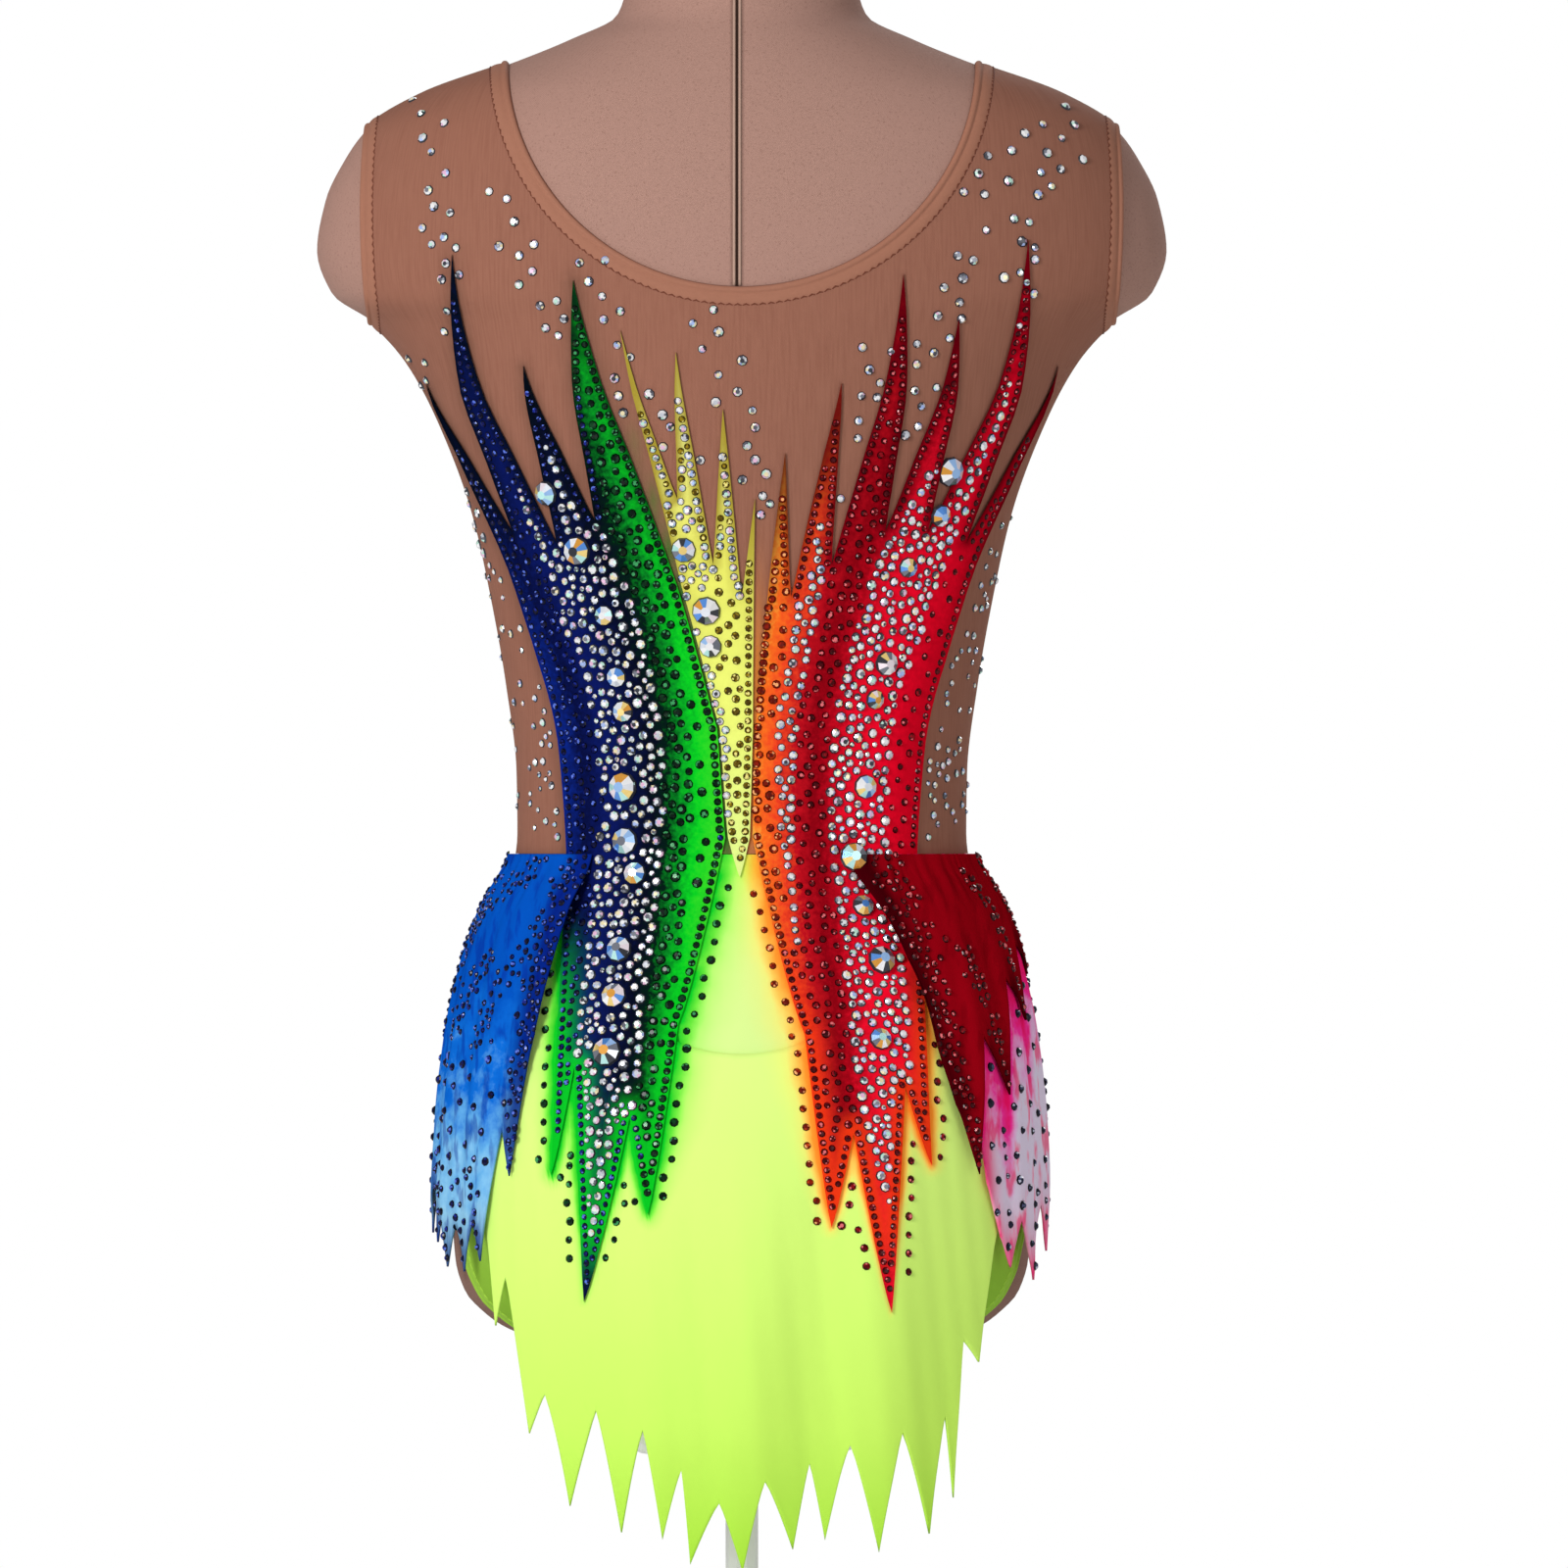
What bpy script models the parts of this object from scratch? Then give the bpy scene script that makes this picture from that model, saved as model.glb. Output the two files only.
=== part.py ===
"""Rhythmic gymnastics leotard worn by a limbless dress form that stands on a low forked post.

Metres, +Z up, floor at z = 0, centre of the stand's base at the origin. The garment's back faces -Y and
the wearer's left is -X. The figure is one lofted surface. Each stretch cloth piece is that surface moved
out, thickened and cut by its pattern's outline. The tail and the hip drapes hang from it.
"""

import math
from collections import namedtuple

import bmesh
import bpy
from mathutils import Vector

# Figure
Section = namedtuple("Section", "height half_width back front")
BODY_SECTIONS = [
    Section(0.1535, 0.0770, 0.0600, 0.0500),
    Section(0.1560, 0.0860, 0.0680, 0.0565),
    Section(0.1600, 0.0975, 0.0780, 0.0650),
    Section(0.1650, 0.1095, 0.0880, 0.0725),
    Section(0.1710, 0.1180, 0.0960, 0.0785),
    Section(0.1810, 0.1272, 0.1035, 0.0835),
    Section(0.1960, 0.1318, 0.1095, 0.0885),
    Section(0.2200, 0.1332, 0.1130, 0.0905),
    Section(0.2600, 0.1312, 0.1090, 0.0900),
    Section(0.3000, 0.1255, 0.1000, 0.0880),
    Section(0.3400, 0.1150, 0.0880, 0.0850),
    Section(0.3700, 0.1050, 0.0785, 0.0825),
    Section(0.3920, 0.1018, 0.0755, 0.0815),
    Section(0.4200, 0.1022, 0.0755, 0.0830),
    Section(0.4600, 0.1070, 0.0785, 0.0900),
    Section(0.5050, 0.1150, 0.0835, 0.1020),
    Section(0.5400, 0.1230, 0.0875, 0.1070),
    Section(0.5815, 0.1385, 0.0920, 0.1020),
    Section(0.6085, 0.1530, 0.0940, 0.0970),
    Section(0.6265, 0.1690, 0.0950, 0.0930),
    Section(0.6400, 0.1885, 0.0950, 0.0905),
    Section(0.6600, 0.1955, 0.0930, 0.0865),
    Section(0.6830, 0.1915, 0.0895, 0.0815),
    Section(0.7010, 0.1830, 0.0860, 0.0775),
    Section(0.7165, 0.1715, 0.0815, 0.0735),
    Section(0.7315, 0.1465, 0.0755, 0.0690),
    Section(0.7470, 0.1035, 0.0680, 0.0630),
    Section(0.7570, 0.0790, 0.0620, 0.0590),
    Section(0.7680, 0.0575, 0.0555, 0.0535),
    Section(0.7800, 0.0535, 0.0520, 0.0505),
    Section(0.8000, 0.0520, 0.0505, 0.0495),
]
COLUMNS = 28
RINGS = 27
UNDERSIDE_Z = 0.150
UNDERSIDE_SCALES = (0.15, 0.45, 0.72, 0.90)
CROTCH_RISE = 0.012
CROTCH_HALF_WIDTH = 0.020
NECK_CAP_RISE = 0.006
NECK_CAP_RING = 0.62
NECK_CAP_RING_RISE = 0.0045

# Stand
BASE_RADIUS = 0.140
BASE_THICKNESS = 0.008
BASE_BEVEL = 0.002
BASE_SIDES = 48
POLE_RADIUS = 0.0075
FORK_RADIUS = 0.0065
FORK_Y = 0.012
FORK_HALF_SPAN = 0.058
FORK_Z = 0.112
FORK_BEND_RADIUS = 0.018
FORK_BEND_STEPS = 6
ROUND_SIDES = 16

# Cloth
CLOTH = 0.0010
BINDING = 0.0016
SEAM_GAP = 0.0003
CLOTH_ROUGHNESS = 0.65
BODICE_LIFT = 0.0005
FLAME_LIFT = BODICE_LIFT + CLOTH + SEAM_GAP
WAIST_Z = 0.384
HALF_SEAM = SEAM_GAP / 2

# Neckline, armholes and leg openings
NECK_HALF_WIDTH = 0.107
NECK_SHOULDER_Z = 0.747
NECK_DROP_BACK = 0.105
NECK_DROP_FRONT = 0.072
NECK_BINDING_WIDTH = 0.009
NECK_RIDGE = 0.004
NECK_STEPS = 14
OVER_SHOULDER = 0.06
ARM_X = 0.1700
ARM_BULGE = 0.0045
ARM_LOW_Z = 0.612
ARM_HIGH_Z = 0.745
ARM_BINDING_WIDTH = 0.0065
ARM_STEPS = 5
LEG_TILT = math.radians(35)
LEG_CENTRE_Y = 0.0125
LEG_CENTRE_UP = 0.210
LEG_HALF_DEPTH = 0.0475
LEG_HALF_HEIGHT = 0.068
LEG_START = -0.080
LEG_BINDING_WIDTH = 0.0065
LEG_STEPS = 22
FAR = 0.300

# Tail and hip drapes
HIP_Z = 0.222
TAIL_SEAM_Z = 0.291
TAIL_SEAM_CURVE = 6.9
TAIL_SEAM_HALF = 0.1
TAIL_SEAM_STEPS = 16
TAIL_TOP_LIFT = 0.0020
TAIL_SWELL = 0.0030
TAIL_SWELL_DROP = 0.060
TAIL_FLARE = 0.050
TAIL_TOP_SPREAD = 1.08
TAIL_ROWS = 6
HemPoint = namedtuple("HemPoint", "across height")
TAIL_HEM = [
    HemPoint(-0.1165, 0.2100),
    HemPoint(-0.1121, 0.1666),
    HemPoint(-0.1076, 0.1891),
    HemPoint(-0.0972, 0.1176),
    HemPoint(-0.0905, 0.1356),
    HemPoint(-0.0797, 0.0847),
    HemPoint(-0.0666, 0.1288),
    HemPoint(-0.0536, 0.0730),
    HemPoint(-0.0437, 0.1198),
    HemPoint(-0.0351, 0.0699),
    HemPoint(-0.0270, 0.1014),
    HemPoint(-0.0230, 0.0586),
    HemPoint(-0.0099, 0.0865),
    HemPoint(0.0005, 0.0550),
    HemPoint(0.0104, 0.0964),
    HemPoint(0.0234, 0.0654),
    HemPoint(0.0315, 0.1045),
    HemPoint(0.0387, 0.0694),
    HemPoint(0.0495, 0.1126),
    HemPoint(0.0612, 0.0640),
    HemPoint(0.0711, 0.1185),
    HemPoint(0.0842, 0.0721),
    HemPoint(0.0923, 0.1261),
    HemPoint(0.0963, 0.0883),
    HemPoint(0.1010, 0.1600),
    HemPoint(0.1080, 0.1500),
    HemPoint(0.1165, 0.2100),
]
Fold = namedtuple("Fold", "degrees depth width_degrees")
TAIL_FOLDS = [
    Fold(-33, -0.0030, 8),
    Fold(-17, 0.0040, 8),
    Fold(1, 0.0035, 7),
    Fold(14, -0.0030, 7),
    Fold(28, 0.0045, 8),
]
FOLD_GROWTH_DROP = 0.160

Drape = namedtuple("Drape", "name side top_lift swell sink lean colour hem")
DrapePoint = namedtuple("DrapePoint", "degrees height")
DRAPE_TOP_Z = 0.3822
DRAPE_SWELL_DROP = 0.026
DRAPE_SINK_DROP = 0.110
DRAPE_TOP_DROPS = (0.0, 0.009, 0.018)
DRAPE_LOWER_ROWS = 4
DRAPES = [
    Drape("hip_drape_left", -1, 0.0040, 0.0069, 0.0028, 4.0, (0.09, 0.33, 0.80), [
        DrapePoint(44, 0.300),
        DrapePoint(49, 0.235),
        DrapePoint(52, 0.257),
        DrapePoint(57, 0.196),
        DrapePoint(60, 0.214),
        DrapePoint(64, 0.191),
        DrapePoint(68, 0.212),
        DrapePoint(72, 0.193),
        DrapePoint(76, 0.222),
        DrapePoint(81, 0.204),
        DrapePoint(86, 0.232),
        DrapePoint(93, 0.208),
        DrapePoint(99, 0.238),
        DrapePoint(108, 0.212),
        DrapePoint(114, 0.250),
        DrapePoint(122, 0.232),
        DrapePoint(128, 0.285),
        DrapePoint(133, 0.345),
    ]),
    Drape("hip_drape_right", 1, 0.0040, 0.0069, 0.0028, 5.0, (0.87, 0.72, 0.85), [
        DrapePoint(46, 0.300),
        DrapePoint(52, 0.232),
        DrapePoint(57, 0.207),
        DrapePoint(61, 0.193),
        DrapePoint(64, 0.215),
        DrapePoint(70, 0.187),
        DrapePoint(76, 0.222),
        DrapePoint(80, 0.200),
        DrapePoint(84, 0.262),
        DrapePoint(88, 0.246),
        DrapePoint(94, 0.258),
        DrapePoint(101, 0.205),
        DrapePoint(106, 0.240),
        DrapePoint(113, 0.210),
        DrapePoint(119, 0.258),
        DrapePoint(127, 0.242),
        DrapePoint(133, 0.345),
    ]),
    Drape("hip_overlay_right", 1, 0.0056, 0.0075, 0.0024, 12.0, (0.58, 0.01, 0.06), [
        DrapePoint(38, 0.330),
        DrapePoint(44, 0.268),
        DrapePoint(49, 0.236),
        DrapePoint(53, 0.300),
        DrapePoint(61, 0.272),
        DrapePoint(65, 0.326),
        DrapePoint(74, 0.306),
        DrapePoint(78, 0.342),
        DrapePoint(87, 0.327),
        DrapePoint(91, 0.352),
        DrapePoint(103, 0.312),
        DrapePoint(108, 0.345),
        DrapePoint(119, 0.290),
        DrapePoint(125, 0.350),
    ]),
]

# Flame panels. Across is a share of the design's half width, which changes with the height
Reach = namedtuple("Reach", "height across")
FLAME_REACH = [
    Reach(0.150, 0.0860),
    Reach(0.290, 0.0850),
    Reach(0.384, 0.0830),
    Reach(0.430, 0.0850),
    Reach(0.505, 0.1050),
    Reach(0.560, 0.1300),
    Reach(0.600, 0.1480),
    Reach(0.640, 0.1540),
    Reach(0.700, 0.1550),
]
FLAME_STEPS = 3
FLAME_TAPER = 0.85
FlamePoint = namedtuple("FlamePoint", "across height")
FlamePanel = namedtuple("FlamePanel", "name colour on_tail edge")
FLAME_PANELS = [
    FlamePanel("flames_cool_back", (0.02, 0.45, 0.12), True, [
        FlamePoint(-1.00, 0.470),
        FlamePoint(-0.97, 0.384),
        FlamePoint(-1.02, 0.236),
        FlamePoint(-0.90, 0.285),
        FlamePoint(-0.84, 0.178),
        FlamePoint(-0.60, 0.262),
        FlamePoint(-0.50, 0.218),
        FlamePoint(-0.34, 0.305),
        FlamePoint(-0.09, 0.390),
        FlamePoint(-0.13, 0.440),
        FlamePoint(-0.28, 0.505),
        FlamePoint(-0.50, 0.645),
        FlamePoint(-0.57, 0.535),
        FlamePoint(-0.67, 0.606),
        FlamePoint(-0.75, 0.525),
        FlamePoint(-0.86, 0.657),
        FlamePoint(-0.91, 0.530),
        FlamePoint(-0.985, 0.598),
    ]),
    FlamePanel("flames_yellow_back", (0.90, 0.92, 0.36), False, [
        FlamePoint(-0.01, 0.372),
        FlamePoint(0.045, 0.390),
        FlamePoint(0.060, 0.440),
        FlamePoint(0.050, 0.545),
        FlamePoint(0.000, 0.500),
        FlamePoint(-0.060, 0.586),
        FlamePoint(-0.120, 0.515),
        FlamePoint(-0.200, 0.612),
        FlamePoint(-0.240, 0.545),
        FlamePoint(-0.365, 0.622),
        FlamePoint(-0.262, 0.505),
        FlamePoint(-0.115, 0.440),
        FlamePoint(-0.075, 0.390),
    ]),
    FlamePanel("flames_warm_back", (0.92, 0.06, 0.08), True, [
        FlamePoint(0.060, 0.390),
        FlamePoint(0.34, 0.300),
        FlamePoint(0.48, 0.212),
        FlamePoint(0.60, 0.255),
        FlamePoint(0.80, 0.173),
        FlamePoint(0.88, 0.276),
        FlamePoint(1.02, 0.240),
        FlamePoint(0.97, 0.384),
        FlamePoint(1.00, 0.470),
        FlamePoint(0.975, 0.606),
        FlamePoint(0.91, 0.525),
        FlamePoint(0.85, 0.664),
        FlamePoint(0.74, 0.530),
        FlamePoint(0.65, 0.628),
        FlamePoint(0.57, 0.530),
        FlamePoint(0.48, 0.648),
        FlamePoint(0.38, 0.515),
        FlamePoint(0.31, 0.598),
        FlamePoint(0.22, 0.500),
        FlamePoint(0.15, 0.566),
        FlamePoint(0.075, 0.440),
    ]),
]

FORM_COLOUR = (0.60, 0.44, 0.38)
STAND_COLOUR = (0.86, 0.86, 0.85)
NUDE = (0.62, 0.40, 0.31)
LIME = (0.68, 0.93, 0.26)


def clear_scene():
    for item in list(bpy.data.objects):
        bpy.data.objects.remove(item)


def material(name, colour, roughness=0.7, metallic=0.0):
    made = bpy.data.materials.new(name)
    made.use_nodes = True
    shader = made.node_tree.nodes["Principled BSDF"]
    shader.inputs["Base Color"].default_value = (*colour, 1.0)
    shader.inputs["Roughness"].default_value = roughness
    shader.inputs["Metallic"].default_value = metallic
    return made


def add_object(name, mesh, look=None):
    item = bpy.data.objects.new(name, mesh)
    bpy.context.scene.collection.objects.link(item)
    if look:
        mesh.materials.append(look)
    return item


def mesh_of(name, points, faces):
    mesh = bpy.data.meshes.new(name)
    mesh.from_pydata([tuple(p) for p in points], [], faces)
    mesh.validate()
    return mesh


def smoothstep(share):
    share = min(1.0, max(0.0, share))
    return share * share * (3.0 - 2.0 * share)


def row_slopes(xs, ys):
    """Slopes at the rows that keep a cubic curve through them from overshooting."""
    steps = [(ys[i + 1] - ys[i]) / (xs[i + 1] - xs[i]) for i in range(len(xs) - 1)]
    slopes = [steps[0]]
    for before, after in zip(steps, steps[1:]):
        slopes.append(2 * before * after / (before + after) if before * after > 0 else 0.0)
    return slopes + [steps[-1]]


def curve_through(rows, column):
    """A function of height that runs smoothly through one column of a table."""
    xs = [row.height for row in rows]
    ys = [getattr(row, column) for row in rows]
    slopes = row_slopes(xs, ys)

    def value(height):
        height = min(xs[-1], max(xs[0], height))
        i = max(0, min(len(xs) - 2, sum(x <= height for x in xs) - 1))
        width = xs[i + 1] - xs[i]
        t = (height - xs[i]) / width
        return (
            ys[i] * (1 + 2 * t) * (1 - t) ** 2
            + width * slopes[i] * t * (1 - t) ** 2
            + ys[i + 1] * t * t * (3 - 2 * t)
            + width * slopes[i + 1] * t * t * (t - 1)
        )

    return value


half_width_at = curve_through(BODY_SECTIONS, "half_width")
back_at = curve_through(BODY_SECTIONS, "back")
front_at = curve_through(BODY_SECTIONS, "front")
reach_at = curve_through(FLAME_REACH, "across")


def ring_point(angle, height, lift=0.0, section_height=None):
    """A point on the figure's ring at a height, moved out level. Angle 0 is centre back, 90 degrees is +X."""
    level = height if section_height is None else section_height
    across = half_width_at(level) + lift
    depth = (back_at(level) if math.cos(angle) > 0 else front_at(level)) + lift
    return Vector((across * math.sin(angle), -depth * math.cos(angle), height))


def ring_heights():
    """Heights of the rings, evenly spaced along the side outline."""
    low, high = BODY_SECTIONS[0].height, BODY_SECTIONS[-1].height
    fine = 600
    levels = [low + (high - low) * i / fine for i in range(fine + 1)]
    travel = [0.0]
    for below, above in zip(levels, levels[1:]):
        travel.append(travel[-1] + math.hypot(above - below, half_width_at(above) - half_width_at(below)))
    heights = []
    for r in range(RINGS):
        goal = travel[-1] * r / (RINGS - 1)
        heights.append(levels[min(range(fine + 1), key=lambda i: abs(travel[i] - goal))])
    return heights


def underside_point(angle, scale):
    """A point of the underside, which is flat under each hip and rises along the crotch."""
    rim = ring_point(angle, BODY_SECTIONS[0].height)
    x, y = rim.x * scale, rim.y * scale
    rounding = (rim.z - UNDERSIDE_Z) * scale**8
    rise = CROTCH_RISE * math.exp(-((x / CROTCH_HALF_WIDTH) ** 2)) * (1 - scale**2)
    return Vector((x, y, UNDERSIDE_Z + rounding + rise))


def split_quads(points, faces):
    """The same sheet in triangles, each four-sided face split along its shorter diagonal."""
    triangles = []
    for face in faces:
        if len(face) == 3:
            triangles.append(face)
            continue
        a, b, c, d = face
        if (points[a] - points[c]).length <= (points[b] - points[d]).length:
            triangles += [(a, b, c), (a, c, d)]
        else:
            triangles += [(a, b, d), (b, c, d)]
    return points, triangles


def figure_sheet():
    """Points and faces of the figure's surface, open at the neck: underside rings first, then side rings."""
    angles = [2 * math.pi * (c + 0.5) / COLUMNS for c in range(COLUMNS)]
    points = [Vector((0, 0, UNDERSIDE_Z + CROTCH_RISE))]
    for scale in UNDERSIDE_SCALES:
        points += [underside_point(a, scale) for a in angles]
    for height in ring_heights():
        points += [ring_point(a, height) for a in angles]
    faces = [(0, 1 + (c + 1) % COLUMNS, 1 + c) for c in range(COLUMNS)]
    for r in range(len(UNDERSIDE_SCALES) + RINGS - 1):
        first = 1 + r * COLUMNS
        for c in range(COLUMNS):
            after = (c + 1) % COLUMNS
            faces.append((first + c, first + after, first + COLUMNS + after, first + COLUMNS + c))
    return split_quads(points, faces)


def outward(points, faces):
    """Unit normals at the points of a sheet, by the faces round each."""
    sheet = bmesh.new()
    corners = [sheet.verts.new(p) for p in points]
    for face in faces:
        sheet.faces.new([corners[i] for i in face])
    sheet.normal_update()
    normals = [corner.normal.copy() for corner in corners]
    sheet.free()
    return normals


def cloth_sheet(name, sheet, lift, thickness, colour):
    """A wall of cloth: the sheet moved out along its normals by lift and thickened outwards."""
    points, faces = sheet
    moved = [p + n * lift for p, n in zip(points, outward(points, faces))]
    mesh = mesh_of(name, moved, faces)
    mesh.shade_smooth()
    item = add_object(name, mesh, material(name, colour, CLOTH_ROUGHNESS))
    thicken = item.modifiers.new("thickness", "SOLIDIFY")
    thicken.thickness = thickness
    thicken.offset = 1.0
    return item


def helper(name, mesh):
    item = add_object(name, mesh)
    item.hide_render = True
    item.display_type = "WIRE"
    return item


def cut(item, operation, cutter):
    """Join item with a helper solid by a Boolean: INTERSECT, DIFFERENCE or UNION."""
    trim = item.modifiers.new(cutter.name, "BOOLEAN")
    trim.operation = operation
    trim.object = cutter
    trim.solver = "EXACT"


def prism_through(name, sections):
    """A closed solid through outlines of (x, z) points, each given with its place along Y."""
    points, faces = [], []
    for y, outline in sections:
        points += [Vector((x, y, z)) for x, z in outline]
    count = len(sections[0][1])
    faces.append(tuple(range(count)))
    faces.append(tuple(reversed(range(len(points) - count, len(points)))))
    for s in range(len(sections) - 1):
        for i in range(count):
            after = (i + 1) % count
            near, far = s * count, (s + 1) * count
            faces.append((near + after, near + i, far + i, far + after))
    solid = bmesh.new()
    solid.from_mesh(mesh_of(name, points, faces))
    bmesh.ops.recalc_face_normals(solid, faces=solid.faces)
    mesh = bpy.data.meshes.new(name)
    solid.to_mesh(mesh)
    solid.free()
    return helper(name, mesh)


def prism(name, outline, y_from, y_to):
    return prism_through(name, [(y_from, outline), (y_to, outline)])


def neckline(drop, grow):
    """The neck opening's lower edge from -X to +X: half an ellipse hung between the shoulders."""
    steps = [math.pi * i / NECK_STEPS for i in range(NECK_STEPS + 1)]
    across, depth = NECK_HALF_WIDTH + grow, drop + grow
    return [(-across * math.cos(a), NECK_SHOULDER_Z - depth * math.sin(a)) for a in steps]


def armhole(side, grow):
    """The armhole's edge from low to high, on one side, grown towards the middle of the garment."""
    edge = []
    for i in range(ARM_STEPS + 1):
        share = i / ARM_STEPS
        x = ARM_X - grow + ARM_BULGE * math.sin(math.pi * share)
        edge.append((side * x, ARM_LOW_Z + (ARM_HIGH_Z - ARM_LOW_Z) * share))
    return edge


def bodice_outline(neck_drop):
    """The pattern of a bodice panel: waist, sides, armholes, shoulders and neckline."""
    low, high = WAIST_Z + HALF_SEAM, NECK_SHOULDER_Z + OVER_SHOULDER
    left = armhole(-1, ARM_BINDING_WIDTH + SEAM_GAP)
    right = armhole(1, ARM_BINDING_WIDTH + SEAM_GAP)
    neck = neckline(neck_drop, NECK_BINDING_WIDTH + SEAM_GAP)
    outline = [(-FAR, low), (-FAR, ARM_LOW_Z)] + left + [(left[-1][0], high)]
    outline += [(neck[0][0], high)] + neck + [(neck[-1][0], high)]
    outline += [(right[-1][0], high)] + right[::-1] + [(FAR, ARM_LOW_Z), (FAR, low)]
    return outline


def neck_band(drop):
    """The U of the neck binding, between the opening's edge and the seam."""
    top = NECK_SHOULDER_Z + OVER_SHOULDER
    inner, outer = neckline(drop, 0.0), neckline(drop, NECK_BINDING_WIDTH)
    band = [(inner[0][0], top)] + inner + [(inner[-1][0], top)]
    return band + [(outer[-1][0], top)] + outer[::-1] + [(outer[0][0], top)]


def arm_band(side):
    return armhole(side, 0.0) + armhole(side, ARM_BINDING_WIDTH)[::-1]


def leg_plug(side, grow):
    """A tilted elliptical plug that cuts one leg opening."""
    along = Vector((side * math.cos(LEG_TILT), 0, -math.sin(LEG_TILT)))
    up = Vector((side * math.sin(LEG_TILT), 0, math.cos(LEG_TILT)))
    solid = bmesh.new()
    rim = []
    for i in range(LEG_STEPS):
        turn = 2 * math.pi * i / LEG_STEPS
        y = LEG_CENTRE_Y + (LEG_HALF_DEPTH + grow) * math.cos(turn)
        rise = LEG_CENTRE_UP + (LEG_HALF_HEIGHT + grow) * math.sin(turn)
        rim.append(solid.verts.new(along * LEG_START + up * rise + Vector((0, y, 0))))
    near = solid.faces.new(rim)
    grown = bmesh.ops.extrude_face_region(solid, geom=[near])
    moved = [v for v in grown["geom"] if isinstance(v, bmesh.types.BMVert)]
    bmesh.ops.translate(solid, verts=moved, vec=along * FAR)
    bmesh.ops.recalc_face_normals(solid, faces=solid.faces)
    name = f"leg_plug_{'left' if side < 0 else 'right'}_{round(grow * 1e4)}"
    mesh = bpy.data.meshes.new(name)
    solid.to_mesh(mesh)
    solid.free()
    return helper(name, mesh)


def make_form(sheet):
    """The dress form: the figure's surface closed by a low domed cap on the neck."""
    points, faces = list(sheet[0]), list(sheet[1])
    outer = len(points) - COLUMNS
    inner, centre = len(points), len(points) + COLUMNS
    for rim in points[outer:]:
        points.append(Vector((rim.x * NECK_CAP_RING, rim.y * NECK_CAP_RING, rim.z + NECK_CAP_RING_RISE)))
    points.append(Vector((0, 0, BODY_SECTIONS[-1].height + NECK_CAP_RISE)))
    for c in range(COLUMNS):
        after = (c + 1) % COLUMNS
        faces.append((outer + c, outer + after, inner + after, inner + c))
        faces.append((inner + c, inner + after, centre))
    mesh = mesh_of("form_torso", points, faces)
    mesh.shade_smooth()
    add_object("form_torso", mesh, material("form_torso", FORM_COLOUR, 0.9))


def make_panels(sheet):
    """Back and front of the bodice and of the brief: walls of the figure's surface cut by their patterns."""
    below_waist = [(-FAR, 0.0), (FAR, 0.0), (FAR, WAIST_Z - HALF_SEAM), (-FAR, WAIST_Z - HALF_SEAM)]
    leg_plugs = [leg_plug(side, LEG_BINDING_WIDTH + SEAM_GAP) for side in (-1, 1)]
    halves = (
        ("back", -FAR, -HALF_SEAM, NECK_DROP_BACK, NUDE),
        ("front", HALF_SEAM, FAR, NECK_DROP_FRONT, LIME),
    )
    for half, y_from, y_to, drop, colour in halves:
        bodice = cloth_sheet(f"bodice_{half}", sheet, BODICE_LIFT, CLOTH, colour)
        cut(bodice, "INTERSECT", prism(f"bodice_pattern_{half}", bodice_outline(drop), y_from, y_to))
        brief = cloth_sheet(f"brief_{half}", sheet, BODICE_LIFT, CLOTH, LIME)
        cut(brief, "INTERSECT", prism(f"brief_pattern_{half}", below_waist, y_from, y_to))
        for plug in leg_plugs:
            cut(brief, "DIFFERENCE", plug)


def make_bindings(sheet):
    """Bindings round the neck, the armholes and the leg openings, a little thicker than the panels."""
    neck = cloth_sheet("neck_binding", sheet, BODICE_LIFT, BINDING, NUDE)
    back_band, front_band = neck_band(NECK_DROP_BACK), neck_band(NECK_DROP_FRONT)
    sections = [(-FAR, back_band), (-NECK_RIDGE, back_band), (NECK_RIDGE, front_band), (FAR, front_band)]
    cut(neck, "INTERSECT", prism_through("neck_pattern", sections))
    for side, word in ((-1, "left"), (1, "right")):
        arm = cloth_sheet(f"arm_binding_{word}", sheet, BODICE_LIFT, BINDING, NUDE)
        cut(arm, "INTERSECT", prism(f"arm_pattern_{word}", arm_band(side), -FAR, FAR))
        leg = cloth_sheet(f"leg_binding_{word}", sheet, BODICE_LIFT, BINDING, LIME)
        cut(leg, "INTERSECT", leg_plug(side, LEG_BINDING_WIDTH))
        cut(leg, "DIFFERENCE", leg_plug(side, 0.0))


def flame_outline(panel):
    """A panel's outline as (x, z) points, with each edge curved so that the flames' tips are slender."""
    outline = []
    count = len(panel.edge)
    for i, start in enumerate(panel.edge):
        end = panel.edge[(i + 1) % count]
        for step in range(FLAME_STEPS):
            share = step / FLAME_STEPS
            if end.height > start.height:
                sideways = share**FLAME_TAPER
            else:
                sideways = 1 - (1 - share) ** FLAME_TAPER
            height = start.height + (end.height - start.height) * share
            across = start.across + (end.across - start.across) * sideways
            outline.append((across * reach_at(height), height))
    return outline


def tail_seam_height(x):
    return TAIL_SEAM_Z + TAIL_SEAM_CURVE * x * x


def below_seam_outline(margin):
    """Outline of all that lies under the tail's seam line, raised by a margin."""
    edge = []
    for i in range(TAIL_SEAM_STEPS + 1):
        x = TAIL_SEAM_HALF * (2 * i / TAIL_SEAM_STEPS - 1)
        edge.append((x, tail_seam_height(x) + margin))
    return [(-FAR, 0.0), (FAR, 0.0), (FAR, edge[-1][1])] + edge[::-1] + [(-FAR, edge[0][1])]


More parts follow.
